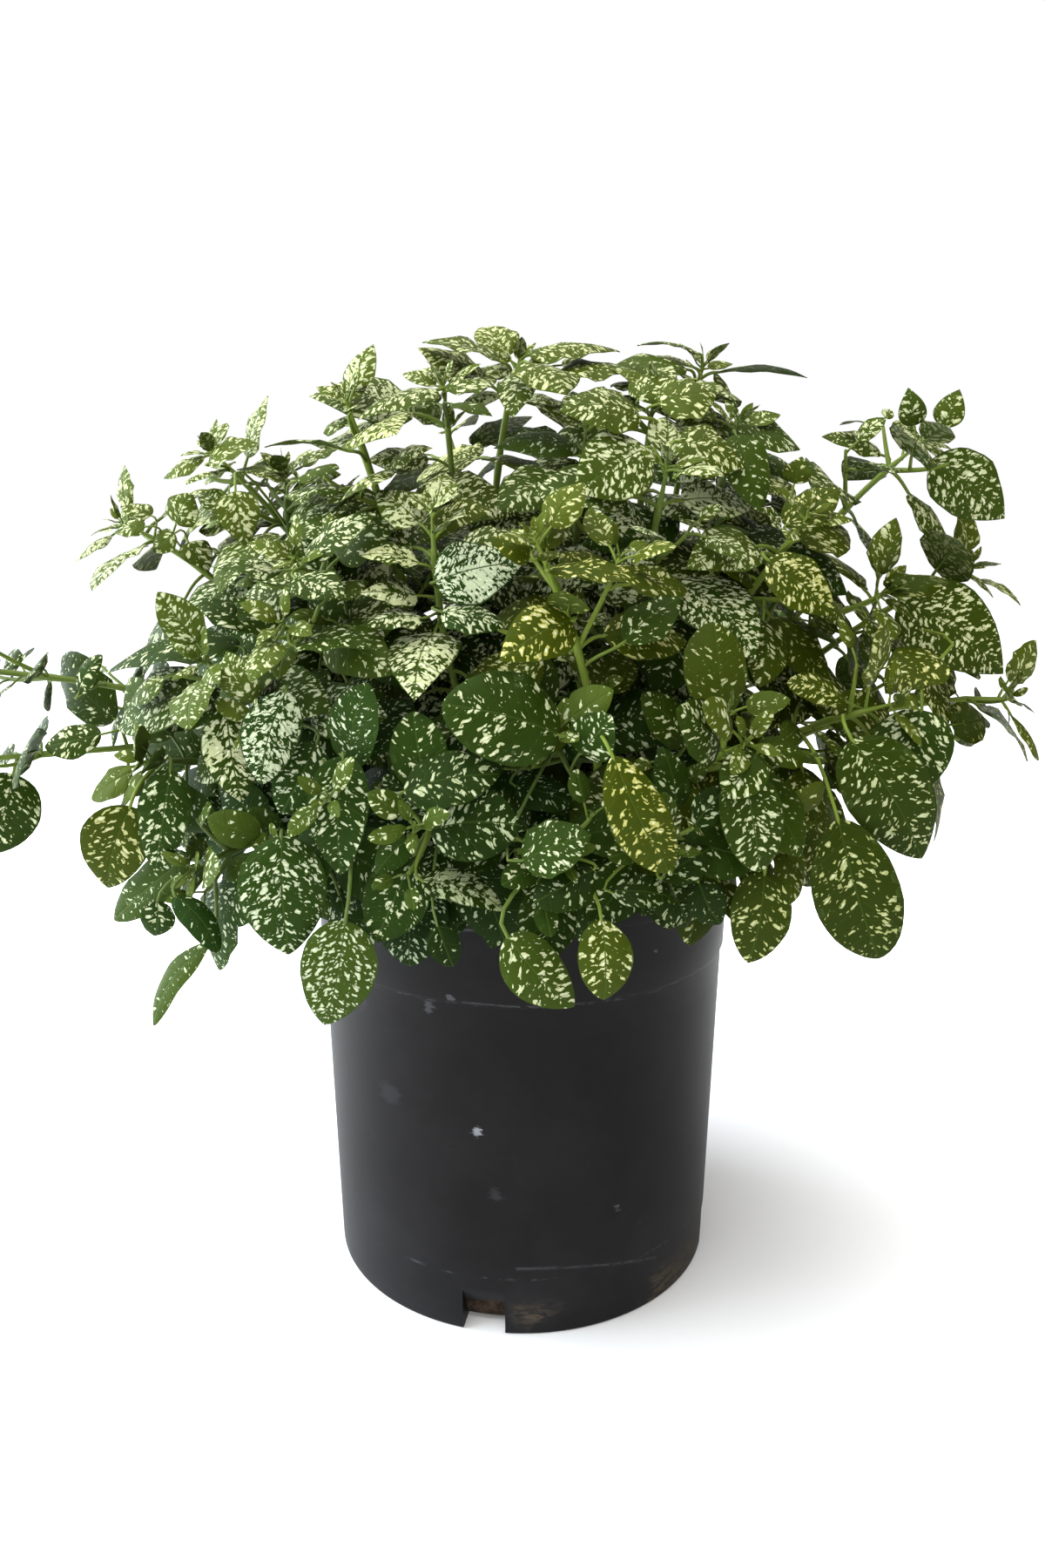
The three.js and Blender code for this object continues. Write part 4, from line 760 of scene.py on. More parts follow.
def in_photo(points):
    """Pixel of the photograph for each point, and its distance in front of the camera."""
    dip = math.radians(CAMERA_DIP_DEG)
    right, deep, high = np.moveaxis(points - CAMERA_PLACE, -1, 0)
    ahead = deep * math.cos(dip) - high * math.sin(dip)
    upward = deep * math.sin(dip) + high * math.cos(dip)
    x, y = PHOTO_WIDTH / 2 + FOCAL * right / ahead, PHOTO_HEIGHT / 2 - FOCAL * upward / ahead
    return np.stack([x, y], axis=-1), ahead


def inside_outline(spots, outline):
    """Whether each pixel is in the outline: a ray to the right crosses it an odd number of times."""
    (x1, y1), (x2, y2) = np.array(outline, float).T, np.roll(np.array(outline, float), -1, axis=0).T
    x, y = spots[:, None, 0], spots[:, None, 1]
    rise = y2 - y1
    crossing = x1 + (y - y1) * (x2 - x1) / np.where(rise == 0, 1e-9, rise)
    return (((y1 > y) != (y2 > y)) & (x < crossing)).sum(axis=1) % 2 == 1


def in_front_view(points):
    """Whether the front view has foliage at all these points."""
    spots, _ = in_photo(points.reshape(-1, 3))
    if np.any([inside_outline(spots, outline) for outline in FRONT_OUTLINES], axis=0).mean() < LEAST_IN_VIEW:
        return False
    gaps = np.array(FRONT_GAPS, float)
    offset = (spots[:, None] - gaps[:, :2]) / gaps[:, 2:]
    return not ((offset ** 2).sum(axis=-1) < 1).any()


class Shown:
    """Places of the posed leaves in the photograph, which no added leaf may cover."""

    def __init__(self, leaves):
        base, base_far = in_photo(np.array([leaf["base"] for leaf in leaves]))
        end, end_far = in_photo(np.array([leaf["end"] for leaf in leaves]))
        self.middle = (base + end) / 2
        self.half = np.linalg.norm(end - base, axis=1) / 2
        self.axis = (end - base) / (2 * self.half[:, None] + 1e-6)
        self.far = (base_far + end_far) / 2
        width = np.array([leaf["width"] for leaf in leaves])
        tilt = np.array([abs(np.dot(leaf["face"], unit(CAMERA_PLACE - leaf["base"]))) for leaf in leaves])
        self.side = np.maximum(4, width / 2 * FOCAL / self.far * np.maximum(tilt, 0.3))

    def hidden_by(self, points):
        """Greatest share of the points that lie in front of one posed leaf."""
        spots, far = in_photo(points.reshape(-1, 3))
        offset = spots[None] - self.middle[:, None]
        axis = self.axis[:, None]
        along = (offset * axis).sum(axis=-1) / self.half[:, None]
        aside = (offset[..., 0] * axis[..., 1] - offset[..., 1] * axis[..., 0]) / self.side[:, None]
        inside = (along ** 2 + aside ** 2 < 1) & (far[None] < self.far[:, None] + 2)
        return inside.mean(axis=1).max()


def blocked_by_pot(points, margin):
    """True where a point is below the mix, in the pot's wall or close to its lip."""
    radius, height = np.hypot(points[..., 0], points[..., 1]), points[..., 2]
    inside = (radius < BASE_RADIUS) & (height < MIX_TOP + margin)
    near = (radius >= BASE_RADIUS) & (radius < RIM_RADIUS + margin) & (height < POT_HEIGHT + margin)
    return (inside | near).any()


def out_of_bounds(points):
    """True where a point leaves the solids' own box or the front view's foliage."""
    low, high = np.array(solid_box) / MM
    return not ((points >= low) & (points <= high)).all() or not in_front_view(points)


def leaf_fits(leaf, shown, crowding):
    """Whether an added leaf has room, stays within the plant and hides no posed leaf."""
    points, _ = blade_point(leaf, *FEW_SAMPLES)
    if blocked_by_pot(points, 1.5) or out_of_bounds(points):
        return False
    if blade_room.share_taken(points) > crowding or stem_room.share_taken(points[1:]) > STEM_CROWDING:
        return False
    stalk = stalk_path(leaf, 10)[3:10]
    return blade_room.share_taken(stalk) <= STALK_CROWDING and shown.hidden_by(points) < MOST_HIDDEN


def add_rosette(shoot):
    """Six tiny leaves that unfold at the growing tip."""
    for k, (from_tip, length, lift) in enumerate(ROSETTE):
        point, *directions = along_stem(shoot, from_tip)
        for side in range(2):
            seed = ROSETTE_SEED + shoot["number"] * 10 + k * 2 + side
            size = length * (0.85 + 0.3 * scatter(seed, 1)) * shoot["leaf"] / 32
            leaf = stem_leaf(point, directions, shoot["spin"] + 45 + k * 90 + side * 180, lift, size,
                             size * 0.5, 0)
            base = point + (leaf["base"] - point) * 0.5
            leaf = make_leaf(point, base, base + leaf["along"] * size, size * 0.5, leaf["face"])
            look_of(leaf, shoot, 0.95, seed, "small")
            shoot["leaves"].append(leaf)


def add_between(shoot, shown):
    """Leaf pairs between those of the solids, where the real stem's shorter joints carry them."""
    for n, from_tip in enumerate(BETWEEN_DISTANCES):
        if from_tip > shoot["reach"] - 12:
            continue
        point, *directions = along_stem(shoot, from_tip)
        for side in range(2):
            for attempt in range(BETWEEN_ATTEMPTS):
                seed = BETWEEN_SEED + shoot["number"] * 60 + n * 10 + side * 4 + attempt
                vary = scatter(seed, 21)
                length = shoot["leaf"] * min(1.0, 0.5 + 0.012 * from_tip) * (0.7 + 0.3 * vary)
                length *= 1 - 0.12 * attempt
                spin = shoot["spin"] + 45 + n * 90 + side * 180
                spin += 50 * (scatter(seed, 22) - 0.5) * (attempt + 1)
                lift = 34 - 0.3 * from_tip + 30 * (scatter(seed, 23) - 0.5)
                leaf = stem_leaf(point, directions, spin, lift, length, length * (0.62 + 0.14 * vary),
                                 0.1 + 0.35 * scatter(seed, 24))
                look_of(leaf, shoot, 0.5 if from_tip < 15 else 0.1, seed, "between")
                if leaf_fits(leaf, shown, BETWEEN_CROWDING):
                    settle_blade(leaf)
                    shoot["leaves"].append(leaf)
                    break


def add_twig(shoot, k, side, shown):
    """Side twig from a leaf's axil, with its leaf pairs and a tip."""
    from_tip = pair_distance(k)
    if from_tip > shoot["reach"] - 8:
        return
    point, along, across, over = along_stem(shoot, from_tip)
    seed = TWIG_SEED + shoot["number"] * 40 + k * 4 + side
    reach = min(52, 10 + 0.42 * from_tip) * (0.7 + 0.5 * scatter(seed, 1))
    spin = math.radians(shoot["spin"] + k * 90 + side * 180 + 40 * (scatter(seed, 2) - 0.5))
    lift = math.radians(38 + 25 * (scatter(seed, 3) - 0.5))
    out = unit((across * math.cos(spin) + over * math.sin(spin)) * math.cos(lift) + along * math.sin(lift))
    rise = unit(out + UP * 0.45)
    points = [point + way * reach for way in (0 * out, out * 0.4, out * 0.72, out * 0.72 + rise * 0.28)]
    path = bezier(points, np.linspace(0, 1, 9))
    if blocked_by_pot(path[2:], 3) or out_of_bounds(path):
        return
    if blade_room.share_taken(path[3:]) > TWIG_STEM_CROWDING:
        return
    tip_along = unit(path[-1] - path[-2])
    tip_across = square(np.array([0.6, 0.3, 0.2]), tip_along)
    directions = (tip_along, tip_across, np.cross(tip_along, tip_across))
    grown = []
    for n, (share, length, raised, young) in enumerate(TWIG_PAIRS):
        for sub in range(2):
            leaf_seed = seed * 16 + n * 4 + sub
            size = length * (0.75 + 0.45 * scatter(leaf_seed, 5)) * shoot["leaf"] / 33
            leaf = stem_leaf(bezier(points, share), directions, 360 * scatter(seed, 4) + n * 90 + sub * 180,
                             raised, size, size * (0.6 + 0.15 * scatter(leaf_seed, 6)),
                             0.1 + 0.3 * scatter(leaf_seed, 7))
            look_of(leaf, shoot, young, leaf_seed, "small")
            if leaf_fits(leaf, shown, TWIG_CROWDING):
                settle_blade(leaf)
                grown.append(leaf)
    if grown:
        stem_room.take(path)
        shoot["leaves"].extend(grown)
        shoot["twigs"].append((path, seed))


def grow_between(shoots):
    """Fills the plant with the leaves that the solids leave out, from the tips inwards."""
    shown = Shown([leaf for shoot in shoots for leaf in shoot["leaves"] if leaf["rank"] == "posed"])
    for shoot in shoots:
        shoot["reach"] = float(np.linalg.norm(np.diff(shoot["stations"][1:], axis=0), axis=1).sum())
        for leaf in shoot["leaves"]:
            settle_blade(leaf)
        stem_room.take(stem_path(shoot, 160))
        add_rosette(shoot)
    for shoot in shoots:
        add_between(shoot, shown)
    for k in TWIG_JOINTS:
        for shoot in shoots:
            for side in range(2):
                add_twig(shoot, k, side, shown)


def build_shoot(shoot, materials):
    """One leafy stem: the stem, its twigs, and each leaf's stalk and blade.

    The stem thins evenly towards its tip and swells a little, by a bell curve, at each leaf pair.
    """
    piece = Piece()
    curve = stem_path(shoot, 44)
    centres = np.vstack([curve[:1] - UP * 14, curve])
    share = np.linspace(0, 1, len(centres))
    radii = (1.55 - 0.65 * share) * STOUT.get(shoot["id"], 1.0) - 0.45 * smooth_step(share, 0.9, 1)
    for k in TWIG_JOINTS:
        radii = radii + 0.3 * np.exp(-((shoot["reach"] * (1 - share) - pair_distance(k)) / 2.5) ** 2)
    piece.tube(centres, radii, 8, shoot["tone"], 0.2, shoot["number"])
    for path, seed in shoot["twigs"]:
        piece.tube(path, np.linspace(0.95, 0.55, len(path)), 6, shoot["tone"], 0.5, seed)
    nearby = stem_path(shoot, 240)
    for leaf in shoot["leaves"]:
        rings, columns, steps, sides = LEAF_MESHES[leaf["rank"]]
        if leaf["rank"] in ("posed", "pair"):
            leaf["start"] = nearby[np.argmin(np.linalg.norm(nearby - leaf["start"], axis=1))]
        path = stalk_path(leaf, steps)
        thick = min(0.68, 0.26 + leaf["length"] * 0.015)
        radii = np.append(np.linspace(thick, thick * 0.78, len(path) - 2), [thick * 0.45, thick * 0.15])
        # The stalk takes its blade's youth and painted light.
        piece.tube(path, radii, sides, leaf["tone"], max(0.35, leaf["young"]), leaf["seed"])
        piece.blade(leaf, rings, columns)
    thing = piece.finish(f"{shoot['node']}_fine", materials)
    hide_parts(shoot["node"])
    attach(thing, "root")


# Materials.

class Value:
    """A node's output that can be reckoned with: each sum, product and so on adds a node."""

    def __init__(self, nodes, socket):
        self.nodes, self.socket = nodes, socket

    def __add__(self, other):
        return self.nodes.math("ADD", self, other)

    def __sub__(self, other):
        return self.nodes.math("SUBTRACT", self, other)

    def __rsub__(self, other):
        return self.nodes.math("SUBTRACT", other, self)

    def __mul__(self, other):
        return self.nodes.math("MULTIPLY", self, other)

    def __truediv__(self, other):
        return self.nodes.math("DIVIDE", self, other)

    def __abs__(self):
        return self.nodes.math("ABSOLUTE", self)


class Nodes:
    """Short way to write a material's nodes."""

    def __init__(self, name, world=False):
        self.material = (bpy.data.worlds if world else bpy.data.materials).new(name)
        self.material.use_nodes = True
        self.tree = self.material.node_tree
        self.shader = self.tree.nodes["Background" if world else "Principled BSDF"]

    def put(self, socket, value):
        if isinstance(value, Value):
            self.tree.links.new(value.socket, socket)
        else:
            socket.default_value = (*value, 1.0) if socket.type == "RGBA" else value

    def add(self, kind, inputs, *outputs, **settings):
        """New node's outputs, by number or name; a single one comes by itself."""
        node = self.tree.nodes.new(kind)
        for key, value in settings.items():
            setattr(node, key, value)
        for key, value in inputs.items():
            self.put(node.inputs[key], value)
        values = [Value(self, node.outputs[output]) for output in outputs]
        return values[0] if len(values) == 1 else values

    def math(self, operation, a, b=0.0, clamp=False):
        return self.add("ShaderNodeMath", {0: a, 1: b}, 0, operation=operation, use_clamp=clamp)

    def most(self, a, b):
        return self.math("MAXIMUM", a, b)

    def step(self, value, low, high, to_low=0.0, to_high=1.0):
        return self.add("ShaderNodeMapRange", {0: value, 1: low, 2: high, 3: to_low, 4: to_high}, 0,
                        interpolation_type="SMOOTHSTEP")

    def fade(self, value, low, high):
        return self.step(value, low, high, 1.0, 0.0)

    def layers(self, colour, *layers):
        """The colour with others mixed over it in turn, each by its share and, if given, its blend."""
        for share, tint, *blend in layers:
            colour = self.add("ShaderNodeMix", {0: share, 6: colour, 7: tint}, 2,
                              data_type="RGBA", blend_type=blend[0] if blend else "MIX")
        return colour

    def noise(self, vector, scale, detail=2.0, rough=0.5, output=0):
        return self.add("ShaderNodeTexNoise", {"Vector": vector, "Scale": scale, "Detail": detail,
                                               "Roughness": rough}, output)

    def point(self, x, y, z):
        return self.add("ShaderNodeCombineXYZ", {0: x, 1: y, 2: z}, 0)

    def split(self, vector):
        return self.add("ShaderNodeSeparateXYZ", {0: vector}, 0, 1, 2)

    def attribute(self, name):
        return self.split(self.add("ShaderNodeAttribute", {}, "Vector", attribute_name=name))

    def set(self, **values):
        for key, value in values.items():
            self.put(self.shader.inputs[key.replace("_", " ")], value)

    def bump(self, height, strength, distance):
        self.set(Normal=self.add("ShaderNodeBump", {"Height": height, "Strength": strength,
                                                    "Distance": distance}, 0))


def leaf_material():
    """Spotted leaf. Everything follows the blade: mm across and along it, and the share of each.

    The blade's cells, of two sizes, are drawn out along its side veins. A cell holds a spot where its
    own random radius, the leaf's share of spots and a ragged noise together pass the distance to its
    middle. Where a broad noise is high, spots run together into white patches. The midrib, the side
    veins and the margin stay green. Tone and young turn the green and the cream
    lighter or darker; young carries the leaf's youth with painted light and shade.
    """
    n = Nodes("spotted_leaf")
    across, along, seed = n.attribute("leaf_place")
    share_across, _, under = n.attribute("leaf_share")
    tone, spots, young = n.attribute("leaf_look")
    aside = abs(across)
    drift = n.noise(n.point(across * 0.22, along * 0.22, seed), 1.0)
    flow = along - aside * 0.6 + (drift - 0.5) * 3.0
    ragged, slip, _ = n.split(n.noise(n.point(across, along, seed * 7.31), 0.62, 1.6, output="Color"))
    patch = n.noise(n.point(across * 0.12, along * 0.12, seed * 5.7), 1.0, 1.5)
    away, onward = across + (ragged - 0.5) * 1.9, flow + (slip - 0.5) * 1.9
    warm, cool = n.step(tone, 0.0, 1.0), n.fade(tone, -1.0, 0.0)
    size = spots * -0.15 + 1.2 - cool * 0.4
    gaps = []
    for wide, long, shift, floor, widest in SPOT_CELLS:
        place = n.point(away / (size * wide) + seed * shift, onward / (size * long) + seed * 3.1, 0.0)
        tint, distance = n.add("ShaderNodeTexVoronoi", {"Vector": place, "Scale": 1.0, "Randomness": 1.0},
                               "Color", "Distance", voronoi_dimensions="2D")
        luck = n.split(tint)[0] * 0.75
        reach = spots * 0.72 + (luck - floor) + (patch - 0.5) * 0.4 + (ragged - 0.5) * 0.4
        gaps.append(n.math("MINIMUM", reach, widest) - distance)
    over = n.most(n.most(*gaps), patch * 0.62 + ragged * 0.62 + spots * 0.3 - 0.945)
    beat = n.math("FRACT", flow / 4.6 + seed * 0.37)
    vein, rib = n.step(abs(beat - 0.5), 0.44, 0.5), n.fade(aside, 0.12, 0.4)
    spot = n.step(over, 0.0, 0.05) * n.step(aside, 0.05, 0.3) * n.fade(abs(share_across), 0.91, 0.98)
    spot = spot * (1.0 - vein * 0.5)

    mottle = n.noise(n.point(across * 0.3, along * 0.3, seed), 1.0, 3.0)
    # light and dark carry youth and painted light: lighter green and cream in the crown and high on the left,
    # and painted shade, darker by multiplying, low down in the middle.
    light, dark = n.most(young, 0.0), n.fade(young, -0.6, 0.0)
    green = n.layers((0.012, 0.027, 0.0015), (warm, (0.034, 0.045, 0.0008)), (cool, (0.0085, 0.029, 0.0045)),
                     (n.step(mottle, 0.3, 0.7, 0.0, 0.3), (0.02, 0.04, 0.0025)),
                     (light * 0.55, (0.09, 0.118, 0.012)), (dark, (0.42, 0.5, 0.5), "MULTIPLY"),
                     (n.most(rib * 0.26, vein * 0.16), (0.05, 0.085, 0.012)))
    cream = n.layers((0.36, 0.39, 0.21), (warm * warm, (0.36, 0.35, 0.09)), (cool, (0.36, 0.43, 0.31)),
                     (n.step(over, 0.16, 0.34), (0.54, 0.57, 0.43)), (light * 0.6, (0.37, 0.395, 0.2)),
                     (dark, (0.62, 0.68, 0.66), "MULTIPLY"))
    below = n.layers(green, (0.5, (0.055, 0.085, 0.02)), (spot * 0.5, cream))
    n.set(Base_Color=n.layers(green, (spot, cream), (under, below)), Roughness=mottle * 0.16 + 0.42,
          Specular_IOR_Level=0.045)
    pitch = n.math("SINE", beat * (2 * math.pi)) * 0.12
    n.bump(drift * 0.4 - vein * 0.5 - rib * 0.8 + pitch, 0.5, 0.0005)
    return n.material


def stem_material():
    """Green stem: brown and dull low down and yellow green towards the tip, with fine streaks."""
    n = Nodes("green_stem")
    around, along, seed = n.attribute("leaf_place")
    _, share, _ = n.attribute("leaf_share")
    tone, _, young = n.attribute("leaf_look")
    streak = n.noise(n.point(around * 9.0, along * 0.25, seed), 1.0, 3.0)
    low = n.fade(share, 0.05, 0.5) * n.fade(young, 0.25, 0.35)
    # On a leaf's stalk, young carries the blade's painted light as well as its youth, and turns the green
    # yellower.
    n.set(Base_Color=n.layers(
        (0.028, 0.06, 0.008), (n.step(tone, -0.6, 0.9), (0.11, 0.16, 0.01)),
        (young * 0.45, (0.13, 0.17, 0.025)), (low * 0.7, (0.05, 0.048, 0.02)),
        (n.step(streak, 0.35, 0.7, 0.0, 0.35), (0.16, 0.2, 0.05))), Roughness=0.5, Specular_IOR_Level=0.16)
    n.bump(streak, 0.3, 0.0003)
    return n.material


def pot_material():
    """Black moulded plastic with dull patches, faint worn rings, scuffs, a smear of dirt, and a painted
    highlight along the top of the lip and along its lower edge.
    """
    n = Nodes("black_pot_plastic")
    place = n.add("ShaderNodeTexCoord", {}, "Object")
    x, y, z = n.split(place)
    cloud, grain = n.noise(place, 22.0, 4.0, 0.6), n.noise(place, 900.0, 2.0, 0.6)
    fine = n.noise(n.point(x, y, z * 4.0), 160.0, 4.0, 0.7)
    ring = n.most(n.fade(abs(z - 0.1265), 0.0, 0.0011), n.fade(abs(z - 0.0225), 0.0, 0.0008))
    # Painted highlight along the top of the rolled lip, broken up by the cloud noise.
    lip = n.step(z, 0.1592, 0.1606) * n.step(cloud, 0.3, 0.6, 0.1, 0.5)
    scuff = n.step(fine, 0.66, 0.76) * n.step(cloud, 0.5, 0.68)
    # wear_and_painted_highlight: the worn rings and scuffs with the lip's painted highlight; the marks and
    # scratches below join it.
    wear_and_painted_highlight = n.most(n.most(ring * n.step(fine, 0.5, 0.66) * 0.16, scuff * 0.2), lip * 0.4)
    front = n.fade(y, -0.02, 0.0)
    for right, height, radius, strength in POT_MARKS:
        places = {0: n.point(x, 0.0, z), 1: (right * MM, 0.0, height * MM)}
        gap = n.add("ShaderNodeVectorMath", places, "Value", operation="DISTANCE") + (fine - 0.5) * 0.009
        wear_and_painted_highlight = n.most(wear_and_painted_highlight, n.step(gap, radius * MM * 0.4, radius * MM, strength, 0.0) * front)
    # The second row of these paints a highlight along the lip's lower edge.
    for x1, z1, x2, z2, bow, half, strength in POT_SCRATCHES_AND_LIP_HIGHLIGHT:
        part = n.math("DIVIDE", x - x1 * MM, (x2 - x1) * MM, clamp=True)
        line = part * ((z2 - z1) * MM) + z1 * MM + part * (1.0 - part) * (4 * bow * MM)
        beyond = abs(x - (part * ((x2 - x1) * MM) + x1 * MM))
        gap = abs(z - line) + beyond + (fine - 0.5) * 0.003
        mark = n.step(gap, half * MM * 0.2, half * MM, strength, 0.0) * front
        wear_and_painted_highlight = n.most(wear_and_painted_highlight, mark * n.step(fine - cloud * 0.5, 0.1, 0.4))
    soil = n.fade(z, 0.004, 0.017) * n.step(cloud, 0.52, 0.66) * n.step(fine, 0.4, 0.6)
    dust = n.fade(z, 0.0, 0.055) * n.step(cloud, 0.3, 0.75, 0.5, 1.0)
    n.set(Base_Color=n.layers(
        (0.0046, 0.0041, 0.0042), (n.step(cloud, 0.35, 0.7), (0.0082, 0.0075, 0.0079)),
        (wear_and_painted_highlight, (0.2, 0.205, 0.22)), (dust * 0.04, (0.2, 0.205, 0.22)), (soil * 0.6, (0.13, 0.1, 0.06))),
        Roughness=cloud * 0.12 + 0.4 + n.most(wear_and_painted_highlight, soil) * 0.3, Specular_IOR_Level=0.08)
    n.bump(grain * 0.5 + fine, 0.12, 0.0003)
    return n.material


def mix_material():
    """Damp dark potting mix: crumbs of peat, with lighter bark and a few pale grains."""
    n = Nodes("potting_mix_crumb")
    place = n.add("ShaderNodeTexCoord", {}, "Object")
    crumb, clod = n.noise(place, 420.0, 5.0, 0.7), n.noise(place, 110.0, 3.0, 0.6)
    tint, distance = n.add("ShaderNodeTexVoronoi", {"Vector": place, "Scale": 260.0}, "Color", "Distance")
    pale = n.fade(distance, 0.18, 0.24) * n.step(n.split(tint)[0], 0.9, 0.92)
    n.set(Base_Color=n.layers(
        (0.014, 0.009, 0.006), (n.step(crumb, 0.35, 0.7), (0.075, 0.045, 0.026)),
        (n.step(clod, 0.58, 0.7, 0.0, 0.6), (0.13, 0.08, 0.042)), (pale * 0.8, (0.55, 0.52, 0.46))),
        Roughness=0.9, Specular_IOR_Level=0.2)
    n.bump(crumb + clod, 0.9, 0.0012)
    return n.material


# Pot and potting mix.

def outer_radius_at(z):
    """The pot's wall, which widens evenly from its base to the step."""
    return BASE_RADIUS + (STEP_RADIUS - BASE_RADIUS) * z / STEP_HEIGHT


def inner_profile():
    """Radius and height along the pot's inside, from its floor to its lip."""
    blend_top = HEEL_HEIGHT + HEEL_BLEND
    return [
        (HEEL_RADIUS, FLOOR_TOP), (HEEL_RADIUS, HEEL_HEIGHT),
        (outer_radius_at(blend_top) - WALL, blend_top), (STEP_RADIUS - WALL, STEP_HEIGHT),
        (LIP_NECK_RADIUS - WALL, LIP_BOTTOM),
    ]


def arc(radius, height, bend, first_deg, last_deg, steps):
    """Points of a round corner of the profile, with its bend radius about a middle radius and height."""
    angle = np.radians(np.linspace(first_deg, last_deg, steps))
    return [(radius + bend * math.cos(v), height + bend * math.sin(v)) for v in angle]


def turned_rings(profile, segments):
    """Surface of revolution: each radius and height of the profile turned once about the pot's axis."""
    angle = 2 * math.pi * np.arange(segments) / segments
    radius, height = np.array(profile, float).T[..., None]
    return np.stack(np.broadcast_arrays(radius * np.cos(angle), radius * np.sin(angle), height), axis=-1)


def closed_turn(name, rings, low, high, material):
    """Object of the rings, closed on the axis at the heights low and high."""
    piece = Piece()
    piece.loft(rings, [(0, 0, low), (0, 0, high)])
    return piece.finish(name, [material])


def notch_cutter(angle):
    """Prism that cuts one drain notch with its sloped lintel."""
    inner = BASE_RADIUS - NOTCH_RECESS_DEPTH
    slope = (NOTCH_RECESS_HEIGHT - NOTCH_HEIGHT) / NOTCH_RECESS_DEPTH
    outline = [(NOTCH_INNER_RADIUS, -1), (RIM_RADIUS, -1),
               (RIM_RADIUS, NOTCH_HEIGHT + slope * (RIM_RADIUS - inner)), (inner, NOTCH_HEIGHT),
               (NOTCH_INNER_RADIUS, NOTCH_HEIGHT)]
    out = np.array([math.cos(angle), math.sin(angle), 0])
    aside = np.array([-math.sin(angle), math.cos(angle), 0])
    points = [(out * radius + aside * across + UP * height) * MM
              for across in (-NOTCH_WIDTH / 2, NOTCH_WIDTH / 2) for radius, height in outline]
    count = len(outline)
    faces = [range(count), range(2 * count - 1, count - 1, -1)]
    faces += [(i, i + count, (i + 1) % count + count, (i + 1) % count) for i in range(count)]
    mesh = bpy.data.meshes.new("notch_cutter")
    mesh.from_pydata(points, [], faces)
    return new_object("notch_cutter", mesh)


def cut_out(thing, cutters):
    """Cuts the cutters out of the thing's mesh and removes them."""
    for cutter in cutters:
        modifier = thing.modifiers.new("notch", "BOOLEAN")
        modifier.operation, modifier.solver, modifier.object = "DIFFERENCE", "EXACT", cutter
    graph = bpy.context.evaluated_depsgraph_get()
    mesh = bpy.data.meshes.new_from_object(thing.evaluated_get(graph))
    thing.modifiers.clear()
    old, thing.data = thing.data, mesh
    bpy.data.meshes.remove(old)
    for cutter in cutters:
        bpy.data.objects.remove(cutter)


def build_pot():
    """Pot shell, turned from its profile: base, wall, step, lip and down the inside to the floor."""
    profile = [(30, 0), (60, 0)]
    profile += arc(BASE_RADIUS - 1.2, 1.2, 1.2, -90, 0, 5)
    profile += [(outer_radius_at(z), z) for z in (6, 18, 40, 66, 92, 114, STEP_HEIGHT - 0.4)]
    profile += [(STEP_RADIUS + 0.35, STEP_HEIGHT + 0.3), (STEP_RADIUS + STEP_PROUD, STEP_HEIGHT + STEP_RISE)]
    profile += [(STEP_RADIUS + STEP_PROUD + 0.2, STEP_HEIGHT + 10), (LIP_NECK_RADIUS, LIP_BOTTOM - 0.2)]
    profile += [(LIP_NECK_RADIUS + 0.3, LIP_BOTTOM)]
    profile += arc(RIM_RADIUS - 0.8, LIP_BOTTOM + 0.8, 0.8, -80, 0, 4)
    profile += arc(RIM_RADIUS - 1.2, POT_HEIGHT - 1.2, 1.2, 0, 90, 5)
    profile += arc(LIP_NECK_RADIUS - WALL + 1.4, POT_HEIGHT - 0.8, 0.8, 90, 180, 4)
    profile += inner_profile()[::-1] + [(30, FLOOR_TOP)]
    rings = turned_rings(profile, POT_SEGMENTS)
    thing = closed_turn("nursery_pot_shell", rings, 0, FLOOR_TOP, pot_material())
    turns = np.radians(NOTCH_FIRST_DEG + np.arange(NOTCH_COUNT) * 360 / NOTCH_COUNT)
    cut_out(thing, [notch_cutter(angle) for angle in turns])
    thing.data.set_sharp_from_angle(angle=math.radians(POT_SHARP_DEG))
    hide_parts("pot")
    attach(thing, "root")


def lumps(x, y, size, seed):
    """Smooth bumps between 0 and 1: random heights at the corners of a grid, blended between them."""
    heights = np.random.default_rng(seed).random((160, 160))
    u, v = x / size + 80, y / size + 80
    i, j = np.floor(u).astype(int), np.floor(v).astype(int)
    fu, fv = smooth_step(u - i, 0, 1), smooth_step(v - j, 0, 1)
    low = heights[i, j] * (1 - fu) + heights[i + 1, j] * fu
    high = heights[i, j + 1] * (1 - fu) + heights[i + 1, j + 1] * fu
    return low * (1 - fv) + high * fv


def mix_height(x, y, edge):
    """Height of the mix: a low crown and a slow swell, with crumbs of three sizes."""
    radius = np.hypot(x, y)
    crown = MIX_CROWN * (1 - (radius / edge) ** 2)
    swell = MIX_BUMP * np.sin(x * 0.11 + 1.3) * np.cos(y * 0.13 - 0.4)
    crumbs = 1.5 * lumps(x, y, 5.0, 3) + 1.0 * lumps(x, y, 2.4, 4) + 0.6 * lumps(x, y, 1.3, 5) - 1.4
    return MIX_EDGE_HEIGHT + crown + swell + crumbs * smooth_step(edge - radius, 0, 3)


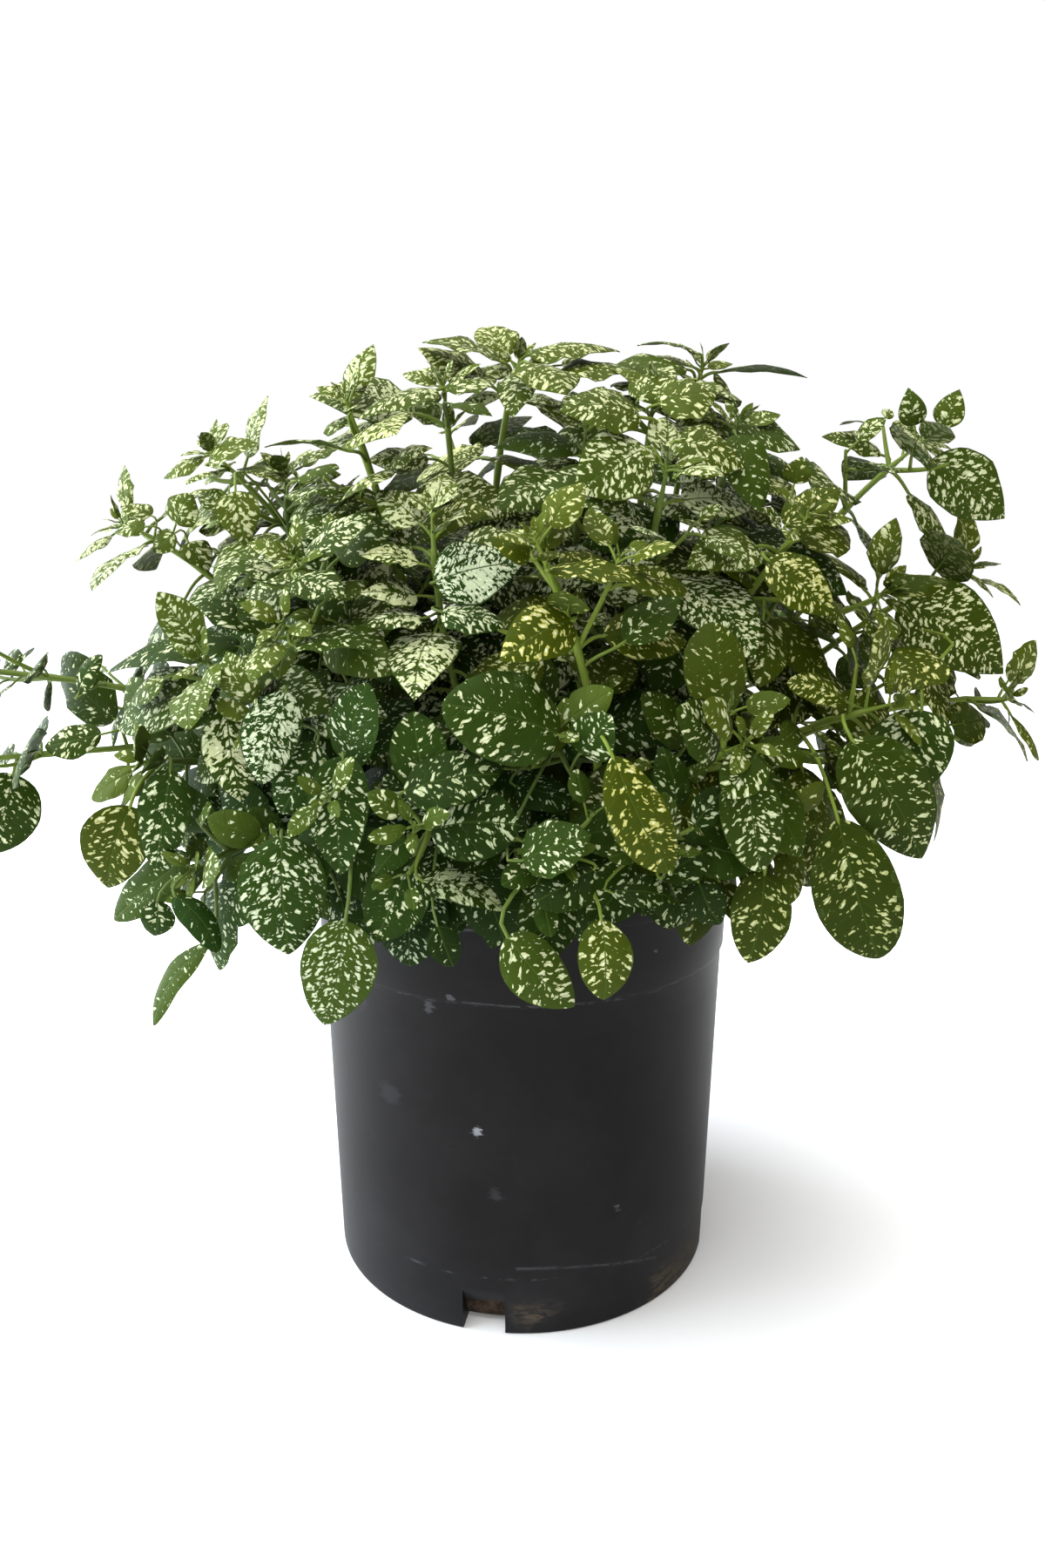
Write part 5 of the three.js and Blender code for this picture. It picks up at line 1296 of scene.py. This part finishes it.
def build_mix():
    """Potting mix: a turned body along the pot's inside, with a crumbled top."""
    edge = LIP_NECK_RADIUS - WALL - 1.2
    wall = [(radius - CLEARANCE, height + CLEARANCE) for radius, height in inner_profile()[:3]]
    wall += [(STEP_RADIUS - WALL - CLEARANCE, STEP_HEIGHT), (edge, MIX_EDGE_HEIGHT - 2)]
    top = [(share * edge, 0) for share in np.linspace(1, 0, MIX_RINGS)[:-1]]
    rings = turned_rings(wall + top, MIX_SEGMENTS)
    crumbs = rings[len(wall):]
    crumbs[..., 2] = mix_height(crumbs[..., 0], crumbs[..., 1], edge)
    centre = mix_height(np.zeros(1), np.zeros(1), edge)[0]
    thing = closed_turn("potting_mix_crumbs", rings, wall[0][1], centre, mix_material())
    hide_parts("potting_mix")
    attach(thing, "root")


# Stage, light and camera.

def build_stage():
    """Pale floor that gets lighter away from the pot, in a room that is dark to the right. Its glow is
    painted light: it rises away from the pot, lifting the plant's shadow and letting the far floor meet the
    white room; the base colour is darker near the pot, where the lamps are strongest.
    """
    mesh = bpy.data.meshes.new("pale_floor_painted_glow")
    mesh.from_pydata([(-6, -6, 0), (6, -6, 0), (6, 6, 0), (-6, 6, 0)], [], [(0, 1, 2, 3)])
    n = Nodes("pale_floor_painted_glow")
    from_pot = n.add("ShaderNodeVectorMath", {0: n.add("ShaderNodeTexCoord", {}, "Object")}, "Value",
                     operation="LENGTH")
    # Painted light: the floor glows, 0.1 near the pot rising to 0.3 far off, over a base that is darker near
    # the pot.
    n.set(Base_Color=n.layers((0.8, 0.8, 0.8), (n.step(from_pot, 0.1, 0.5), (0.97, 0.97, 0.97))),
          Roughness=0.9, Emission_Color=(1.0, 1.0, 1.0),
          Emission_Strength=n.step(from_pot, 0.08, 0.5, 0.1, 0.3), Specular_IOR_Level=0.1)
    mesh.materials.append(n.material)
    floor = new_object("pale_floor_painted_glow", mesh)
    room = Nodes("pale_room", world=True)
    x, y, _ = room.split(room.add("ShaderNodeTexCoord", {}, "Generated"))
    room.set(Strength=1.0, Color=room.layers(
        (1.0, 1.0, 1.0), (room.step(x, 0.42, 0.6), (0.17, 0.14, 0.115)),
        (room.step(x * -1.0, 0.45, 0.9), (1.7, 1.82, 1.95)),
        (room.step(y * -1.0, 0.2, 0.9, 0.0, 0.45), (0.6, 0.6, 0.6))))
    bpy.context.scene.world = room.material


def add_light(name, place, aim, size, power, tint):
    """Round lamp at a place, turned to face the aim."""
    light = bpy.data.lights.new(name, "AREA")
    light.shape, light.size, light.energy, light.color = "DISK", size, power, tint
    thing = new_object(name, light)
    thing.location = place
    right, deep, high = np.array(aim) - np.array(place)
    thing.rotation_euler = (math.atan2(math.hypot(right, deep), -high), 0,
                            math.atan2(deep, right) - math.pi / 2)


def build_camera():
    """Camera at the place and with the lens that the photograph's perspective gives."""
    camera = bpy.data.cameras.new("photo_camera")
    camera.lens, camera.sensor_width, camera.clip_start = CAMERA_LENS, CAMERA_SENSOR, 0.01
    thing = new_object("photo_camera", camera)
    thing.location = CAMERA_PLACE * MM
    thing.rotation_euler = (math.radians(90 - CAMERA_DIP_DEG), 0, 0)
    bpy.context.scene.camera = thing


build_camera()
build_stage()
add_light("sky_above", (-0.25, -0.3, 1.5), (0, 0, 0.2), 2.0, 38, (1.0, 1.0, 0.97))
add_light("window_left", (-1.2, 0.1, 0.3), (0, 0, 0.1), 1.8, 62, (0.82, 0.91, 1.0))
build_pot()
build_mix()

shoots = [read_shoot(number, row) for number, row in enumerate(SHOOTS + back_rows(), 1)]
print("leaves read from the solids:", sum(len(shoot["leaves"]) for shoot in shoots))
grow_between(shoots)
print("leaves in all:", sum(len(shoot["leaves"]) for shoot in shoots))
leaf_materials = [leaf_material(), stem_material()]
for shoot in shoots:
    build_shoot(shoot, leaf_materials)

bpy.context.scene.view_settings.view_transform = "Standard"
